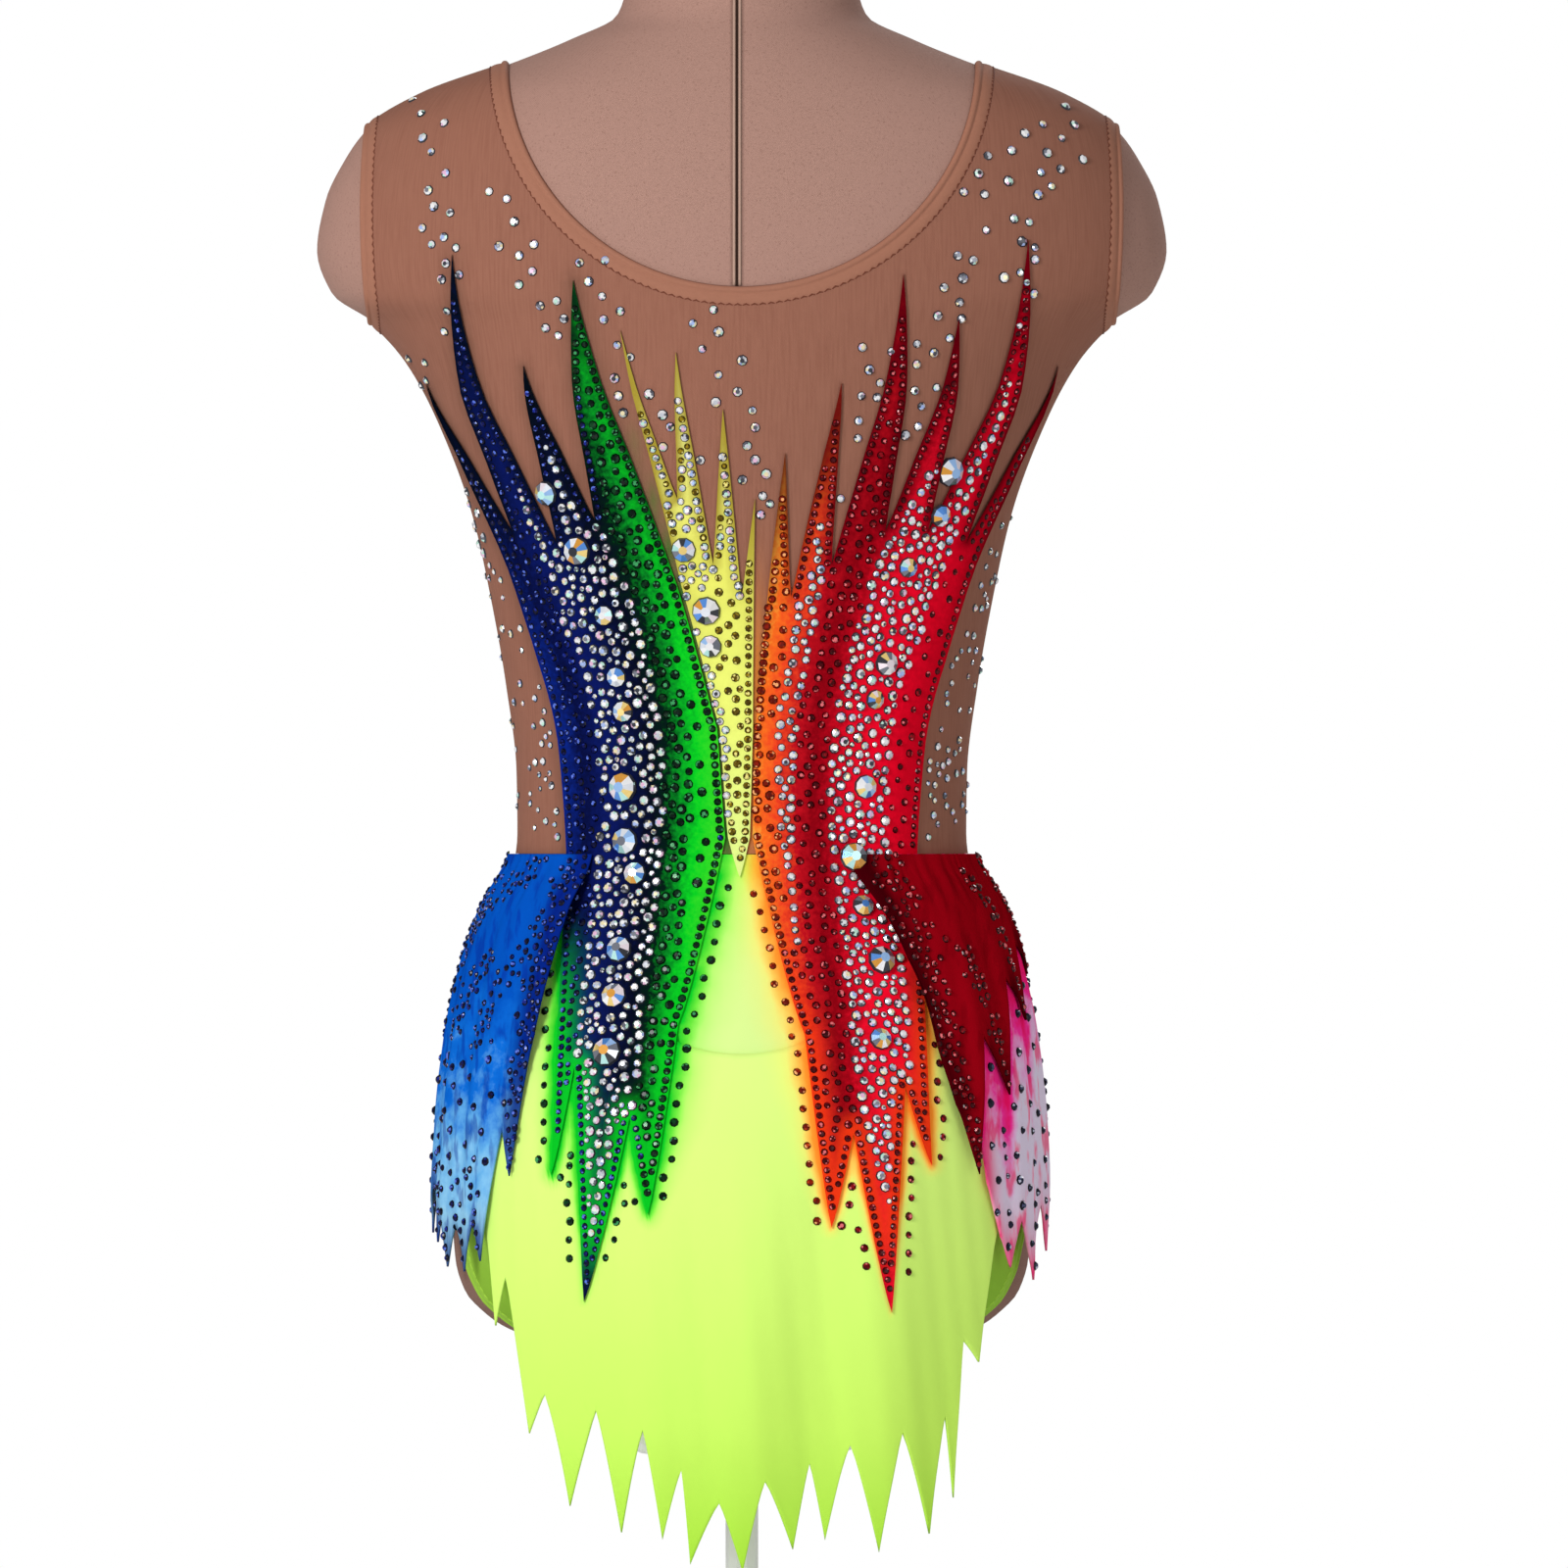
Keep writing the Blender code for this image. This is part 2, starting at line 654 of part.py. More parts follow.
def make_flames(sheet):
    """Flame panels sewn over the bodice and brief. At the back they end above the tail's seam."""
    under_seam = prism("under_seam", below_seam_outline(SEAM_GAP), -FAR, 0.0)
    for panel in FLAME_PANELS:
        piece = cloth_sheet(panel.name, sheet, FLAME_LIFT, CLOTH, panel.colour)
        cut(piece, "INTERSECT", prism(panel.name + "_pattern", flame_outline(panel), -FAR, 0.0))
        if panel.on_tail:
            cut(piece, "DIFFERENCE", under_seam)


def fold_depth(angle, drop):
    """How far the tail's folds stand out at an angle, growing with the drop below the seam."""
    degrees = math.degrees(angle)
    grown = smoothstep(drop / FOLD_GROWTH_DROP)
    depth = 0.0
    for fold in TAIL_FOLDS:
        depth += fold.depth * math.exp(-(((degrees - fold.degrees) / fold.width_degrees) ** 2))
    return depth * grown


def tail_point(angle, height, seam_height):
    drop = seam_height - height
    lift = TAIL_TOP_LIFT + TAIL_SWELL * smoothstep(drop / TAIL_SWELL_DROP)
    lift += TAIL_FLARE * max(0.0, HIP_Z - height) + fold_depth(angle, drop)
    return ring_point(angle, height, lift, max(height, HIP_Z))


def seam_height_at(angle):
    """Height where the tail's seam line crosses a column of the figure."""
    height = TAIL_SEAM_Z
    for _ in range(12):
        height = tail_seam_height(half_width_at(height) * math.sin(angle))
    return height


def with_middles(rows):
    """The rows of a table with one more row half way between each two."""
    found = [rows[0]]
    for before, after in zip(rows, rows[1:]):
        found += [type(before)(*((a + b) / 2 for a, b in zip(before, after))), after]
    return found


def sheet_of_columns(columns):
    """Points and faces of a sheet given as columns of points, each from top to hem."""
    rows = len(columns[0])
    points = [p for column in columns for p in column]
    faces = []
    for c in range(len(columns) - 1):
        for r in range(rows - 1):
            here = c * rows + r
            faces.append((here, here + 1, here + rows + 1, here + rows))
    return split_quads(points, faces)


def tail_sheet():
    """The tail from its seam on the brief to its cut points, which hang straight below the hips."""
    widest = half_width_at(HIP_Z) + TAIL_TOP_LIFT + TAIL_SWELL
    columns = []
    for point in with_middles(TAIL_HEM):
        hem_angle = math.asin(point.across / (widest + TAIL_FLARE * max(0.0, HIP_Z - point.height)))
        top = seam_height_at(hem_angle * TAIL_TOP_SPREAD)
        column = []
        for r in range(TAIL_ROWS + 1):
            share = r / TAIL_ROWS
            angle = hem_angle * (TAIL_TOP_SPREAD + (1 - TAIL_TOP_SPREAD) * share)
            column.append(tail_point(angle, top + (point.height - top) * share, top))
        columns.append(column)
    return sheet_of_columns(columns)


def make_tail():
    """The lime tail and the flames that run down onto it."""
    sheet = tail_sheet()
    cloth_sheet("tail", sheet, 0.0, CLOTH, LIME)
    on_tail = prism("on_tail", below_seam_outline(-SEAM_GAP), -FAR, 0.0)
    for panel in FLAME_PANELS:
        if not panel.on_tail:
            continue
        name = panel.name.replace("back", "tail")
        piece = cloth_sheet(name, sheet, CLOTH + SEAM_GAP, CLOTH, panel.colour)
        cut(piece, "INTERSECT", prism(name + "_pattern", flame_outline(panel), -FAR, 0.0))
        cut(piece, "INTERSECT", on_tail)


def drape_sheet(drape):
    """A hip drape: hung from the waist, puffed out below it, with a hem of points."""
    columns = []
    for point in with_middles(drape.hem):
        length = DRAPE_TOP_Z - point.height
        drops = list(DRAPE_TOP_DROPS)
        for r in range(1, DRAPE_LOWER_ROWS + 1):
            drops.append(DRAPE_TOP_DROPS[-1] + (length - DRAPE_TOP_DROPS[-1]) * r / DRAPE_LOWER_ROWS)
        column = []
        for drop in drops:
            height = DRAPE_TOP_Z - drop
            angle = math.radians(point.degrees - drape.lean * (1 - drop / length)) * drape.side
            lift = drape.top_lift + drape.swell * smoothstep(drop / DRAPE_SWELL_DROP)
            lift -= drape.sink * smoothstep((drop - DRAPE_SWELL_DROP) / DRAPE_SINK_DROP)
            column.append(ring_point(angle, height, lift, max(height, HIP_Z)))
        columns.append(column)
    return sheet_of_columns(columns if drape.side > 0 else columns[::-1])


def make_drapes():
    for drape in DRAPES:
        cloth_sheet(drape.name, drape_sheet(drape), 0.0, CLOTH, drape.colour)


def round_bar(name, path, radius):
    """The mesh of a round bar with flat ends along a path of points."""
    curve = bpy.data.curves.new(name, "CURVE")
    curve.dimensions = "3D"
    curve.bevel_depth = radius
    curve.bevel_resolution = ROUND_SIDES // 4 - 1
    curve.use_fill_caps = True
    spline = curve.splines.new("POLY")
    spline.points.add(len(path) - 1)
    for point, place in zip(spline.points, path):
        point.co = (*place, 1.0)
    carrier = add_object(name, curve)
    mesh = bpy.data.meshes.new_from_object(carrier)
    bpy.data.objects.remove(carrier)
    bar = bmesh.new()
    bar.from_mesh(mesh)
    bmesh.ops.remove_doubles(bar, verts=bar.verts, dist=1e-5)
    bmesh.ops.recalc_face_normals(bar, faces=bar.faces)
    bar.to_mesh(mesh)
    bar.free()
    mesh.shade_smooth()
    return mesh


def fork_path():
    """The fork's centre line: down one prong, round both bends and up the other."""
    top = UNDERSIDE_Z - SEAM_GAP
    bend, half = FORK_BEND_RADIUS, FORK_HALF_SPAN
    path = [(-half, FORK_Y, top)]
    for side in (-1, 1):
        for i in range(FORK_BEND_STEPS + 1):
            turn = math.pi / 2 * (i if side < 0 else FORK_BEND_STEPS - i) / FORK_BEND_STEPS
            x = side * (half - bend + bend * math.cos(turn))
            path.append((x, FORK_Y, FORK_Z + bend - bend * math.sin(turn)))
    return path + [(half, FORK_Y, top)]


def base_mesh():
    """The round base plate, with its upper rim bevelled."""
    plate = bmesh.new()
    size = {"radius1": BASE_RADIUS, "radius2": BASE_RADIUS, "depth": BASE_THICKNESS}
    bmesh.ops.create_cone(plate, cap_ends=True, segments=BASE_SIDES, **size)
    bmesh.ops.translate(plate, verts=plate.verts, vec=(0, 0, BASE_THICKNESS / 2))
    rim = [edge for edge in plate.edges if all(v.co.z > BASE_THICKNESS / 2 for v in edge.verts)]
    bmesh.ops.bevel(plate, geom=rim, offset=BASE_BEVEL, segments=1, affect="EDGES", profile=0.5)
    mesh = bpy.data.meshes.new("stand_base")
    plate.to_mesh(mesh)
    plate.free()
    mesh.shade_smooth()
    mesh.set_sharp_from_angle(angle=math.radians(40))
    return mesh


def make_stand():
    """A round base and a post whose fork carries the form under both hips, clear of the brief's crotch."""
    add_object("stand_base", base_mesh(), material("stand_base", STAND_COLOUR, 0.4))
    fork = round_bar("fork", fork_path(), FORK_RADIUS)
    post = add_object("stand_post", fork, material("stand_post", STAND_COLOUR, 0.4))
    pole_path = [(0, FORK_Y, BASE_THICKNESS + SEAM_GAP), (0, FORK_Y, FORK_Z)]
    cut(post, "UNION", helper("pole", round_bar("pole", pole_path, POLE_RADIUS)))


def main():
    clear_scene()
    sheet = figure_sheet()
    make_form(sheet)
    make_panels(sheet)
    make_bindings(sheet)
    make_flames(sheet)
    make_tail()
    make_drapes()
    make_stand()


main()
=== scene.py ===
import math
import random
from collections import namedtuple

import bmesh
import bpy
import numpy as np
from mathutils import Matrix, Vector
from mathutils.bvhtree import BVHTree


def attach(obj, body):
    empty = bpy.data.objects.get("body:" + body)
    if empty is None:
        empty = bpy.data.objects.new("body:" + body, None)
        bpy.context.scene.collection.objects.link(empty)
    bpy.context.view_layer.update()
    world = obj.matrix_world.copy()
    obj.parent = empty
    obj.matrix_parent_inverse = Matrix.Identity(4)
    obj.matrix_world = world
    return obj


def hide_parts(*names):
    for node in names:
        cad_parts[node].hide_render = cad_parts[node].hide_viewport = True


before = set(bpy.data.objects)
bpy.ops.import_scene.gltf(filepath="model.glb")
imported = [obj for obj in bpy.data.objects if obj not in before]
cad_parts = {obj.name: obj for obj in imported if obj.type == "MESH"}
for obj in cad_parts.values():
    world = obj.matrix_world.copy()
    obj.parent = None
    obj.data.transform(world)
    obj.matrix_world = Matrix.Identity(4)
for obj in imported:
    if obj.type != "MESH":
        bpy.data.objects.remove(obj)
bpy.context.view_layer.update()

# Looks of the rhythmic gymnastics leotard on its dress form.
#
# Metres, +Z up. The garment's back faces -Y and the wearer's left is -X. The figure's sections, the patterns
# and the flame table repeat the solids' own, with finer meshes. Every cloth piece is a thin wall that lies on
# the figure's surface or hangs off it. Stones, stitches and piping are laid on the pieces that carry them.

random.seed(11)

# Figure
Section = namedtuple("Section", "height half_width back front")
BODY_SECTIONS = [
    Section(0.1535, 0.0770, 0.0600, 0.0500),
    Section(0.1560, 0.0860, 0.0680, 0.0565),
    Section(0.1600, 0.0975, 0.0780, 0.0650),
    Section(0.1650, 0.1095, 0.0880, 0.0725),
    Section(0.1710, 0.1180, 0.0960, 0.0785),
    Section(0.1810, 0.1272, 0.1035, 0.0835),
    Section(0.1960, 0.1318, 0.1095, 0.0885),
    Section(0.2200, 0.1332, 0.1130, 0.0905),
    Section(0.2600, 0.1312, 0.1090, 0.0900),
    Section(0.3000, 0.1255, 0.1000, 0.0880),
    Section(0.3400, 0.1150, 0.0880, 0.0850),
    Section(0.3700, 0.1050, 0.0785, 0.0825),
    Section(0.3920, 0.1018, 0.0755, 0.0815),
    Section(0.4200, 0.1022, 0.0755, 0.0830),
    Section(0.4600, 0.1070, 0.0785, 0.0900),
    Section(0.5050, 0.1150, 0.0835, 0.1020),
    Section(0.5400, 0.1230, 0.0875, 0.1070),
    Section(0.5815, 0.1385, 0.0920, 0.1020),
    Section(0.6085, 0.1530, 0.0940, 0.0970),
    Section(0.6265, 0.1690, 0.0950, 0.0930),
    Section(0.6400, 0.1885, 0.0950, 0.0905),
    Section(0.6600, 0.1955, 0.0930, 0.0865),
    Section(0.6830, 0.1915, 0.0895, 0.0815),
    Section(0.7010, 0.1830, 0.0860, 0.0775),
    Section(0.7165, 0.1715, 0.0815, 0.0735),
    Section(0.7315, 0.1465, 0.0755, 0.0690),
    Section(0.7470, 0.1035, 0.0680, 0.0630),
    Section(0.7570, 0.0790, 0.0620, 0.0590),
    Section(0.7680, 0.0575, 0.0555, 0.0535),
    Section(0.7800, 0.0535, 0.0520, 0.0505),
    Section(0.8000, 0.0520, 0.0505, 0.0495),
]
COLUMNS = 144
RINGS = 200
OUTLINE_SAMPLES = 2400
NORMAL_STEP = 1e-4
UNDERSIDE_Z = 0.150
UNDERSIDE_SCALES = (0.06, 0.15, 0.28, 0.42, 0.55, 0.67, 0.78, 0.87, 0.95)
CROTCH_RISE = 0.012
CROTCH_HALF_WIDTH = 0.020
NECK_CAP = ((0.97, 0.0018), (0.85, 0.0034), (0.62, 0.0050), (0.30, 0.0058))
NECK_CAP_RISE = 0.006
SEAM_LOW_Z = 0.53
SEAM_X = -0.0021
PIPING_GAP = 0.0013
PIPING_RADIUS = 0.0007
PIPING_STEPS = 60
PIPING_LIFT = 0.0001
PIPING_LOW_GAP = 0.0005
PIPING_HIGH_GAP = 0.001

# Cloth: its thickness, the gaps between pieces and the knit's loops
CLOTH = 0.0010
SEAM_GAP = 0.0003
HALF_SEAM = SEAM_GAP / 2
BODICE_LIFT = 0.0005
FLAME_LIFT = BODICE_LIFT + CLOTH + SEAM_GAP
WAIST_Z = 0.3824
HALF_OVERLAP = 0.012
FLAME_OVERLAP = 0.010
CROP_MARGIN = 0.02
BODICE_CROP_Z = 0.775
SHARP_ANGLE = math.radians(40)
LOOP_HEIGHT = 0.7
Knit = namedtuple("Knit", "pitch depth strength")
FORM_KNIT = Knit(0.0010, 0.0001, 0.5)
MESH_KNIT = Knit(0.0009, 0.0001, 0.5)
BINDING_KNIT = Knit(0.0008, 0.0001, 0.5)
CLOTH_KNIT = Knit(0.0008, 0.00008, 0.4)

# Neckline, armholes and leg openings
NECK_HALF_WIDTH = 0.107
NECK_SHOULDER_Z = 0.747
NECK_DROP_BACK = 0.105
NECK_DROP_FRONT = 0.072
NECK_BINDING_WIDTH = 0.009
NECK_STEPS = 60
NECK_LOOP_STEPS = 150
OVER_SHOULDER = 0.06
ARM_X = 0.1700
ARM_BULGE = 0.0045
ARM_LOW_Z = 0.612
ARM_HIGH_Z = 0.745
ARM_BINDING_WIDTH = 0.0065
ARM_STEPS = 24
ARM_LOOP_STEPS = 90
ARM_MIDDLE_Z = 0.66
ARM_LOOP_LOW_Z = ARM_LOW_Z - 0.02
ARM_LOOP_HIGH_Z = 0.76
LEG_TILT = math.radians(35)
LEG_CENTRE_Y = 0.0125
LEG_CENTRE_UP = 0.210
LEG_HALF_DEPTH = 0.0475
LEG_HALF_HEIGHT = 0.068
LEG_START = -0.080
LEG_BINDING_WIDTH = 0.0065
BINDING_HEIGHT = 0.0018
COVERED_SHARE = 0.7
STITCH = 0.0019
STITCH_SHARES = (0.90, 0.985)
THREAD_RADIUS = 0.00042
LEG_STEPS = 96
LEG_LOOP_STEPS = 130
BINDING_STEPS = 20
FAR = 0.300

# Tail
HIP_Z = 0.222
TAIL_SEAM_Z = 0.291
TAIL_SEAM_CURVE = 6.9
TAIL_SEAM_HALF = 0.1
TAIL_SEAM_STEPS = 48
TAIL_TOP_LIFT = 0.0020
TAIL_SWELL = 0.0030
TAIL_SWELL_DROP = 0.060
TAIL_FLARE = 0.050
TAIL_TOP_SPREAD = 1.08
TAIL_ROWS = 72
HEM_STEPS = 8
HEM_TAPER = 0.86
HemPoint = namedtuple("HemPoint", "across height")
TAIL_HEM = [
    HemPoint(-0.1165, 0.2100),
    HemPoint(-0.1121, 0.1666),
    HemPoint(-0.1076, 0.1891),
    HemPoint(-0.0972, 0.1176),
    HemPoint(-0.0905, 0.1356),
    HemPoint(-0.0797, 0.0847),
    HemPoint(-0.0666, 0.1288),
    HemPoint(-0.0536, 0.0730),
    HemPoint(-0.0437, 0.1198),
    HemPoint(-0.0351, 0.0699),
    HemPoint(-0.0270, 0.1014),
    HemPoint(-0.0230, 0.0586),
    HemPoint(-0.0099, 0.0865),
    HemPoint(0.0005, 0.0550),
    HemPoint(0.0104, 0.0964),
    HemPoint(0.0234, 0.0654),
    HemPoint(0.0315, 0.1045),
    HemPoint(0.0387, 0.0694),
    HemPoint(0.0495, 0.1126),
    HemPoint(0.0612, 0.0640),
    HemPoint(0.0711, 0.1185),
    HemPoint(0.0842, 0.0721),
    HemPoint(0.0923, 0.1261),
    HemPoint(0.0963, 0.0883),
    HemPoint(0.1010, 0.1600),
    HemPoint(0.1080, 0.1500),
    HemPoint(0.1165, 0.2100),
]
Fold = namedtuple("Fold", "degrees depth width_degrees")
TAIL_FOLDS = [
    Fold(-33, -0.0030, 8),
    Fold(-17, 0.0040, 8),
    Fold(1, 0.0035, 7),
    Fold(14, -0.0030, 7),
    Fold(28, 0.0045, 8),
]
FOLD_GROWTH_DROP = 0.160
RIPPLE_DEPTH = 0.00012
RIPPLE_TURNS = 61
RIPPLE_SLANT = 40
RIPPLE_DROP = 0.12
LAP_CURL = 0.0007
LAP_CLEARANCE = 0.0001

# Hip drapes
Drape = namedtuple("Drape", "name side top_lift swell sink lean hem")
DrapePoint = namedtuple("DrapePoint", "degrees height")
DRAPE_TOP_Z = 0.3822
DRAPE_SWELL_DROP = 0.026
DRAPE_SINK_DROP = 0.110
DRAPE_ROWS = 44
DROP_EASE = 1.25
Wave = namedtuple("Wave", "depth turns shift")
DRAPE_WAVES = [Wave(0.0009, 23, 0.0), Wave(0.0004, 57, 1.0)]
WAVE_DROP = 0.06
GATHER_DEPTH = 0.0006
GATHER_TURNS = 95
GATHER_SWAY = 3
GATHER_SWAY_TURNS = 17
GATHER_DROP = 0.012
FALL_LENGTH = 0.19
COVERED_FALL_LENGTH = 0.10
POINT_TURNS = (-2.4, -1.2, 0.0, 1.2, 2.4)
POINT_SHADE = 0.016
EDGE_SHADE_DEGREES = 3.4
EDGE_ROW_LEAN = 2.2
DRAPE_SHADE = 0.85
DRAPES = [
    Drape("hip_drape_left", -1, 0.0040, 0.0069, 0.0028, 4.0, [
        DrapePoint(44, 0.300),
        DrapePoint(49, 0.235),
        DrapePoint(52, 0.257),
        DrapePoint(57, 0.196),
        DrapePoint(60, 0.214),
        DrapePoint(64, 0.191),
        DrapePoint(68, 0.212),
        DrapePoint(72, 0.193),
        DrapePoint(76, 0.222),
        DrapePoint(81, 0.204),
        DrapePoint(86, 0.232),
        DrapePoint(93, 0.208),
        DrapePoint(99, 0.238),
        DrapePoint(108, 0.212),
        DrapePoint(114, 0.250),
        DrapePoint(122, 0.232),
        DrapePoint(128, 0.285),
        DrapePoint(133, 0.345),
    ]),
    Drape("hip_drape_right", 1, 0.0040, 0.0069, 0.0028, 5.0, [
        DrapePoint(46, 0.300),
        DrapePoint(52, 0.232),
        DrapePoint(57, 0.207),
        DrapePoint(61, 0.193),
        DrapePoint(64, 0.215),
        DrapePoint(70, 0.187),
        DrapePoint(76, 0.222),
        DrapePoint(80, 0.200),
        DrapePoint(84, 0.262),
        DrapePoint(88, 0.246),
        DrapePoint(94, 0.258),
        DrapePoint(101, 0.205),
        DrapePoint(106, 0.240),
        DrapePoint(113, 0.210),
        DrapePoint(119, 0.258),
        DrapePoint(127, 0.242),
        DrapePoint(133, 0.345),
    ]),
    Drape("hip_overlay_right", 1, 0.0056, 0.0075, 0.0024, 12.0, [
        DrapePoint(38, 0.330),
        DrapePoint(44, 0.268),
        DrapePoint(49, 0.236),
        DrapePoint(53, 0.300),
        DrapePoint(61, 0.272),
        DrapePoint(65, 0.326),
        DrapePoint(74, 0.306),
        DrapePoint(78, 0.342),
        DrapePoint(87, 0.327),
        DrapePoint(91, 0.352),
        DrapePoint(103, 0.312),
        DrapePoint(108, 0.345),
        DrapePoint(119, 0.290),
        DrapePoint(125, 0.350),
    ]),
]

# Flame panels. Across is a share of the design's half width, which changes with the height
Reach = namedtuple("Reach", "height across")
FLAME_REACH = [
    Reach(0.150, 0.0860),
    Reach(0.290, 0.0850),
    Reach(0.384, 0.0830),
    Reach(0.430, 0.0850),
    Reach(0.505, 0.1050),
    Reach(0.560, 0.1300),
    Reach(0.600, 0.1480),
    Reach(0.640, 0.1540),
    Reach(0.700, 0.1550),
]
FLAME_STEPS = 12
LAP = 0.0022
LANE_HIGH_Z = 0.44
LANE_LOW_Z = 0.40
LANE_LEAN_UP = 1.0
LANE_LEAN_DOWN = 1.1
FLAME_TAPER = 0.85
FlamePoint = namedtuple("FlamePoint", "across height")
FlamePanel = namedtuple("FlamePanel", "name on_tail edge")
FLAME_PANELS = [
    FlamePanel("flames_cool_back", True, [
        FlamePoint(-1.00, 0.470),
        FlamePoint(-0.97, 0.384),
        FlamePoint(-1.02, 0.236),
        FlamePoint(-0.90, 0.285),
        FlamePoint(-0.84, 0.178),
        FlamePoint(-0.60, 0.262),
        FlamePoint(-0.50, 0.218),
        FlamePoint(-0.34, 0.305),
        FlamePoint(-0.09, 0.390),
        FlamePoint(-0.13, 0.440),
        FlamePoint(-0.28, 0.505),
        FlamePoint(-0.50, 0.645),
        FlamePoint(-0.57, 0.535),
        FlamePoint(-0.67, 0.606),
        FlamePoint(-0.75, 0.525),
        FlamePoint(-0.86, 0.657),
        FlamePoint(-0.91, 0.530),
        FlamePoint(-0.985, 0.598),
    ]),
    FlamePanel("flames_yellow_back", False, [
        FlamePoint(-0.01, 0.372),
        FlamePoint(0.045, 0.390),
        FlamePoint(0.060, 0.440),
        FlamePoint(0.050, 0.545),
        FlamePoint(0.000, 0.500),
        FlamePoint(-0.060, 0.586),
        FlamePoint(-0.120, 0.515),
        FlamePoint(-0.200, 0.612),
        FlamePoint(-0.240, 0.545),
        FlamePoint(-0.365, 0.622),
        FlamePoint(-0.262, 0.505),
        FlamePoint(-0.115, 0.440),
        FlamePoint(-0.075, 0.390),
    ]),
    FlamePanel("flames_warm_back", True, [
        FlamePoint(0.060, 0.390),
        FlamePoint(0.34, 0.300),
        FlamePoint(0.48, 0.212),
        FlamePoint(0.60, 0.255),
        FlamePoint(0.80, 0.173),
        FlamePoint(0.88, 0.276),
        FlamePoint(1.02, 0.240),
        FlamePoint(0.97, 0.384),
        FlamePoint(1.00, 0.470),
        FlamePoint(0.975, 0.606),
        FlamePoint(0.91, 0.525),
        FlamePoint(0.85, 0.664),
        FlamePoint(0.74, 0.530),
        FlamePoint(0.65, 0.628),
        FlamePoint(0.57, 0.530),
        FlamePoint(0.48, 0.648),
        FlamePoint(0.38, 0.515),
        FlamePoint(0.31, 0.598),
        FlamePoint(0.22, 0.500),
        FlamePoint(0.15, 0.566),
        FlamePoint(0.075, 0.440),
    ]),
]

# Dye beside and inside the flames' edges, and painted shadow beside them on the mesh: its share at the edge,
# and the distance over which it fades
CARRIER_HALO = 0.95
CARRIER_HALO_REACH = 0.0078
MESH_SHADOW = 0.35
MESH_SHADOW_REACH = 0.004
HALO_FRONT_Y = 0.01
HALO_SHARES = (("cool_halo", 0.75), ("warm_halo", 0.68))
JOINT = 0.9
JOINT_REACH = 0.004
EDGE_DARK = 0.92
EDGE_DEPTH = 0.0035
RIM = 0.95
RIM_DEPTH = 0.0075

# A record for the flat sizes of the cut pieces, which nothing here uses. Stretch panels are cut narrower than
# they are worn
PatternCut = namedtuple("PatternCut", "width length area held")

# Camera: level with the garment's middle, looking along +Y, with the photo's 0.72 m wide frame
SENSOR_WIDTH = 36
CAMERA_DISTANCE = 14.0
FRAME_WIDTH = 0.7215
FRAME_CENTRE_X = 0.0194
FRAME_CENTRE_Z = 0.4145

# Lights and floor
WORLD_STRENGTH = 0.39
FLOOR_RADIUS = 1.8
FLOOR_SIDES = 96
Light = namedtuple("Light", "name place target size power")
LIGHTS = [
    Light("key", (-1.60, -2.45, 1.5), (0.0, 0.0, 0.45), 1.0, 64.5),
    Light("fill", (1.8, -2.4, 0.9), (0.0, 0.0, 0.40), 1.4, 8.0),
    Light("front", (0.9, 2.6, 1.6), (0.0, 0.0, 0.45), 1.4, 26.0),
]


# Curves and surfaces


def curve_through(rows, column):
    """A function of height that runs smoothly through one column of a table, without overshooting."""
    xs = np.array([row.height for row in rows])
    ys = np.array([getattr(row, column) for row in rows])
    steps = np.diff(ys) / np.diff(xs)
    products = steps[:-1] * steps[1:]
    sums = np.where(products > 0, steps[:-1] + steps[1:], 1.0)
    inner = np.where(products > 0, 2 * products / sums, 0.0)
    slopes = np.concatenate([steps[:1], inner, steps[-1:]])

    def value(height):
        height = np.clip(height, xs[0], xs[-1])
        i = np.clip(np.searchsorted(xs, height, side="right") - 1, 0, len(xs) - 2)
        width = xs[i + 1] - xs[i]
        t = (height - xs[i]) / width
        return (
            ys[i] * (1 + 2 * t) * (1 - t) ** 2
            + width * slopes[i] * t * (1 - t) ** 2
            + ys[i + 1] * t * t * (3 - 2 * t)
            + width * slopes[i + 1] * t * t * (t - 1)
        )

    return value


half_width_at = curve_through(BODY_SECTIONS, "half_width")
back_at = curve_through(BODY_SECTIONS, "back")
front_at = curve_through(BODY_SECTIONS, "front")
reach_at = curve_through(FLAME_REACH, "across")


def smoothstep(share):
    share = np.clip(share, 0.0, 1.0)
    return share * share * (3.0 - 2.0 * share)


def blend(value, start, length, low, high):
    """A value that goes softly from low to high over a length from a start."""
    return low + (high - low) * smoothstep((value - start) / length)


def ring_points(angle, height, lift=0.0, level=None):
    """Points on the figure's rings, moved out level by lift. Angle 0 is centre back, a quarter turn is +X."""
    angle, height = np.broadcast_arrays(np.asarray(angle, float), np.asarray(height, float))
    level = height if level is None else level
    across = half_width_at(level) + lift
    depth = np.where(np.cos(angle) > 0, back_at(level), front_at(level)) + lift
    return np.stack([across * np.sin(angle), -depth * np.cos(angle), height], axis=-1)


def surface_normals(angle, height):
    """Unit outward normals of the figure at ring points, by differences."""
    around = ring_points(angle + NORMAL_STEP, height) - ring_points(angle - NORMAL_STEP, height)
    upward = ring_points(angle, height + NORMAL_STEP) - ring_points(angle, height - NORMAL_STEP)
    normal = np.cross(around, upward)
    return normal / np.linalg.norm(normal, axis=-1, keepdims=True)


def on_figure(angle, height, lift):
    """Points of the figure's surface moved out along its normals."""
    return ring_points(angle, height) + surface_normals(angle, height) * np.asarray(lift)[..., None]


def ring_heights(count):
    """Heights of the rings, evenly spaced along the side outline."""
    fine = np.linspace(BODY_SECTIONS[0].height, BODY_SECTIONS[-1].height, OUTLINE_SAMPLES)
    travel = np.concatenate([[0.0], np.cumsum(np.hypot(np.diff(fine), np.diff(half_width_at(fine))))])
    return np.interp(np.linspace(0, travel[-1], count), travel, fine)


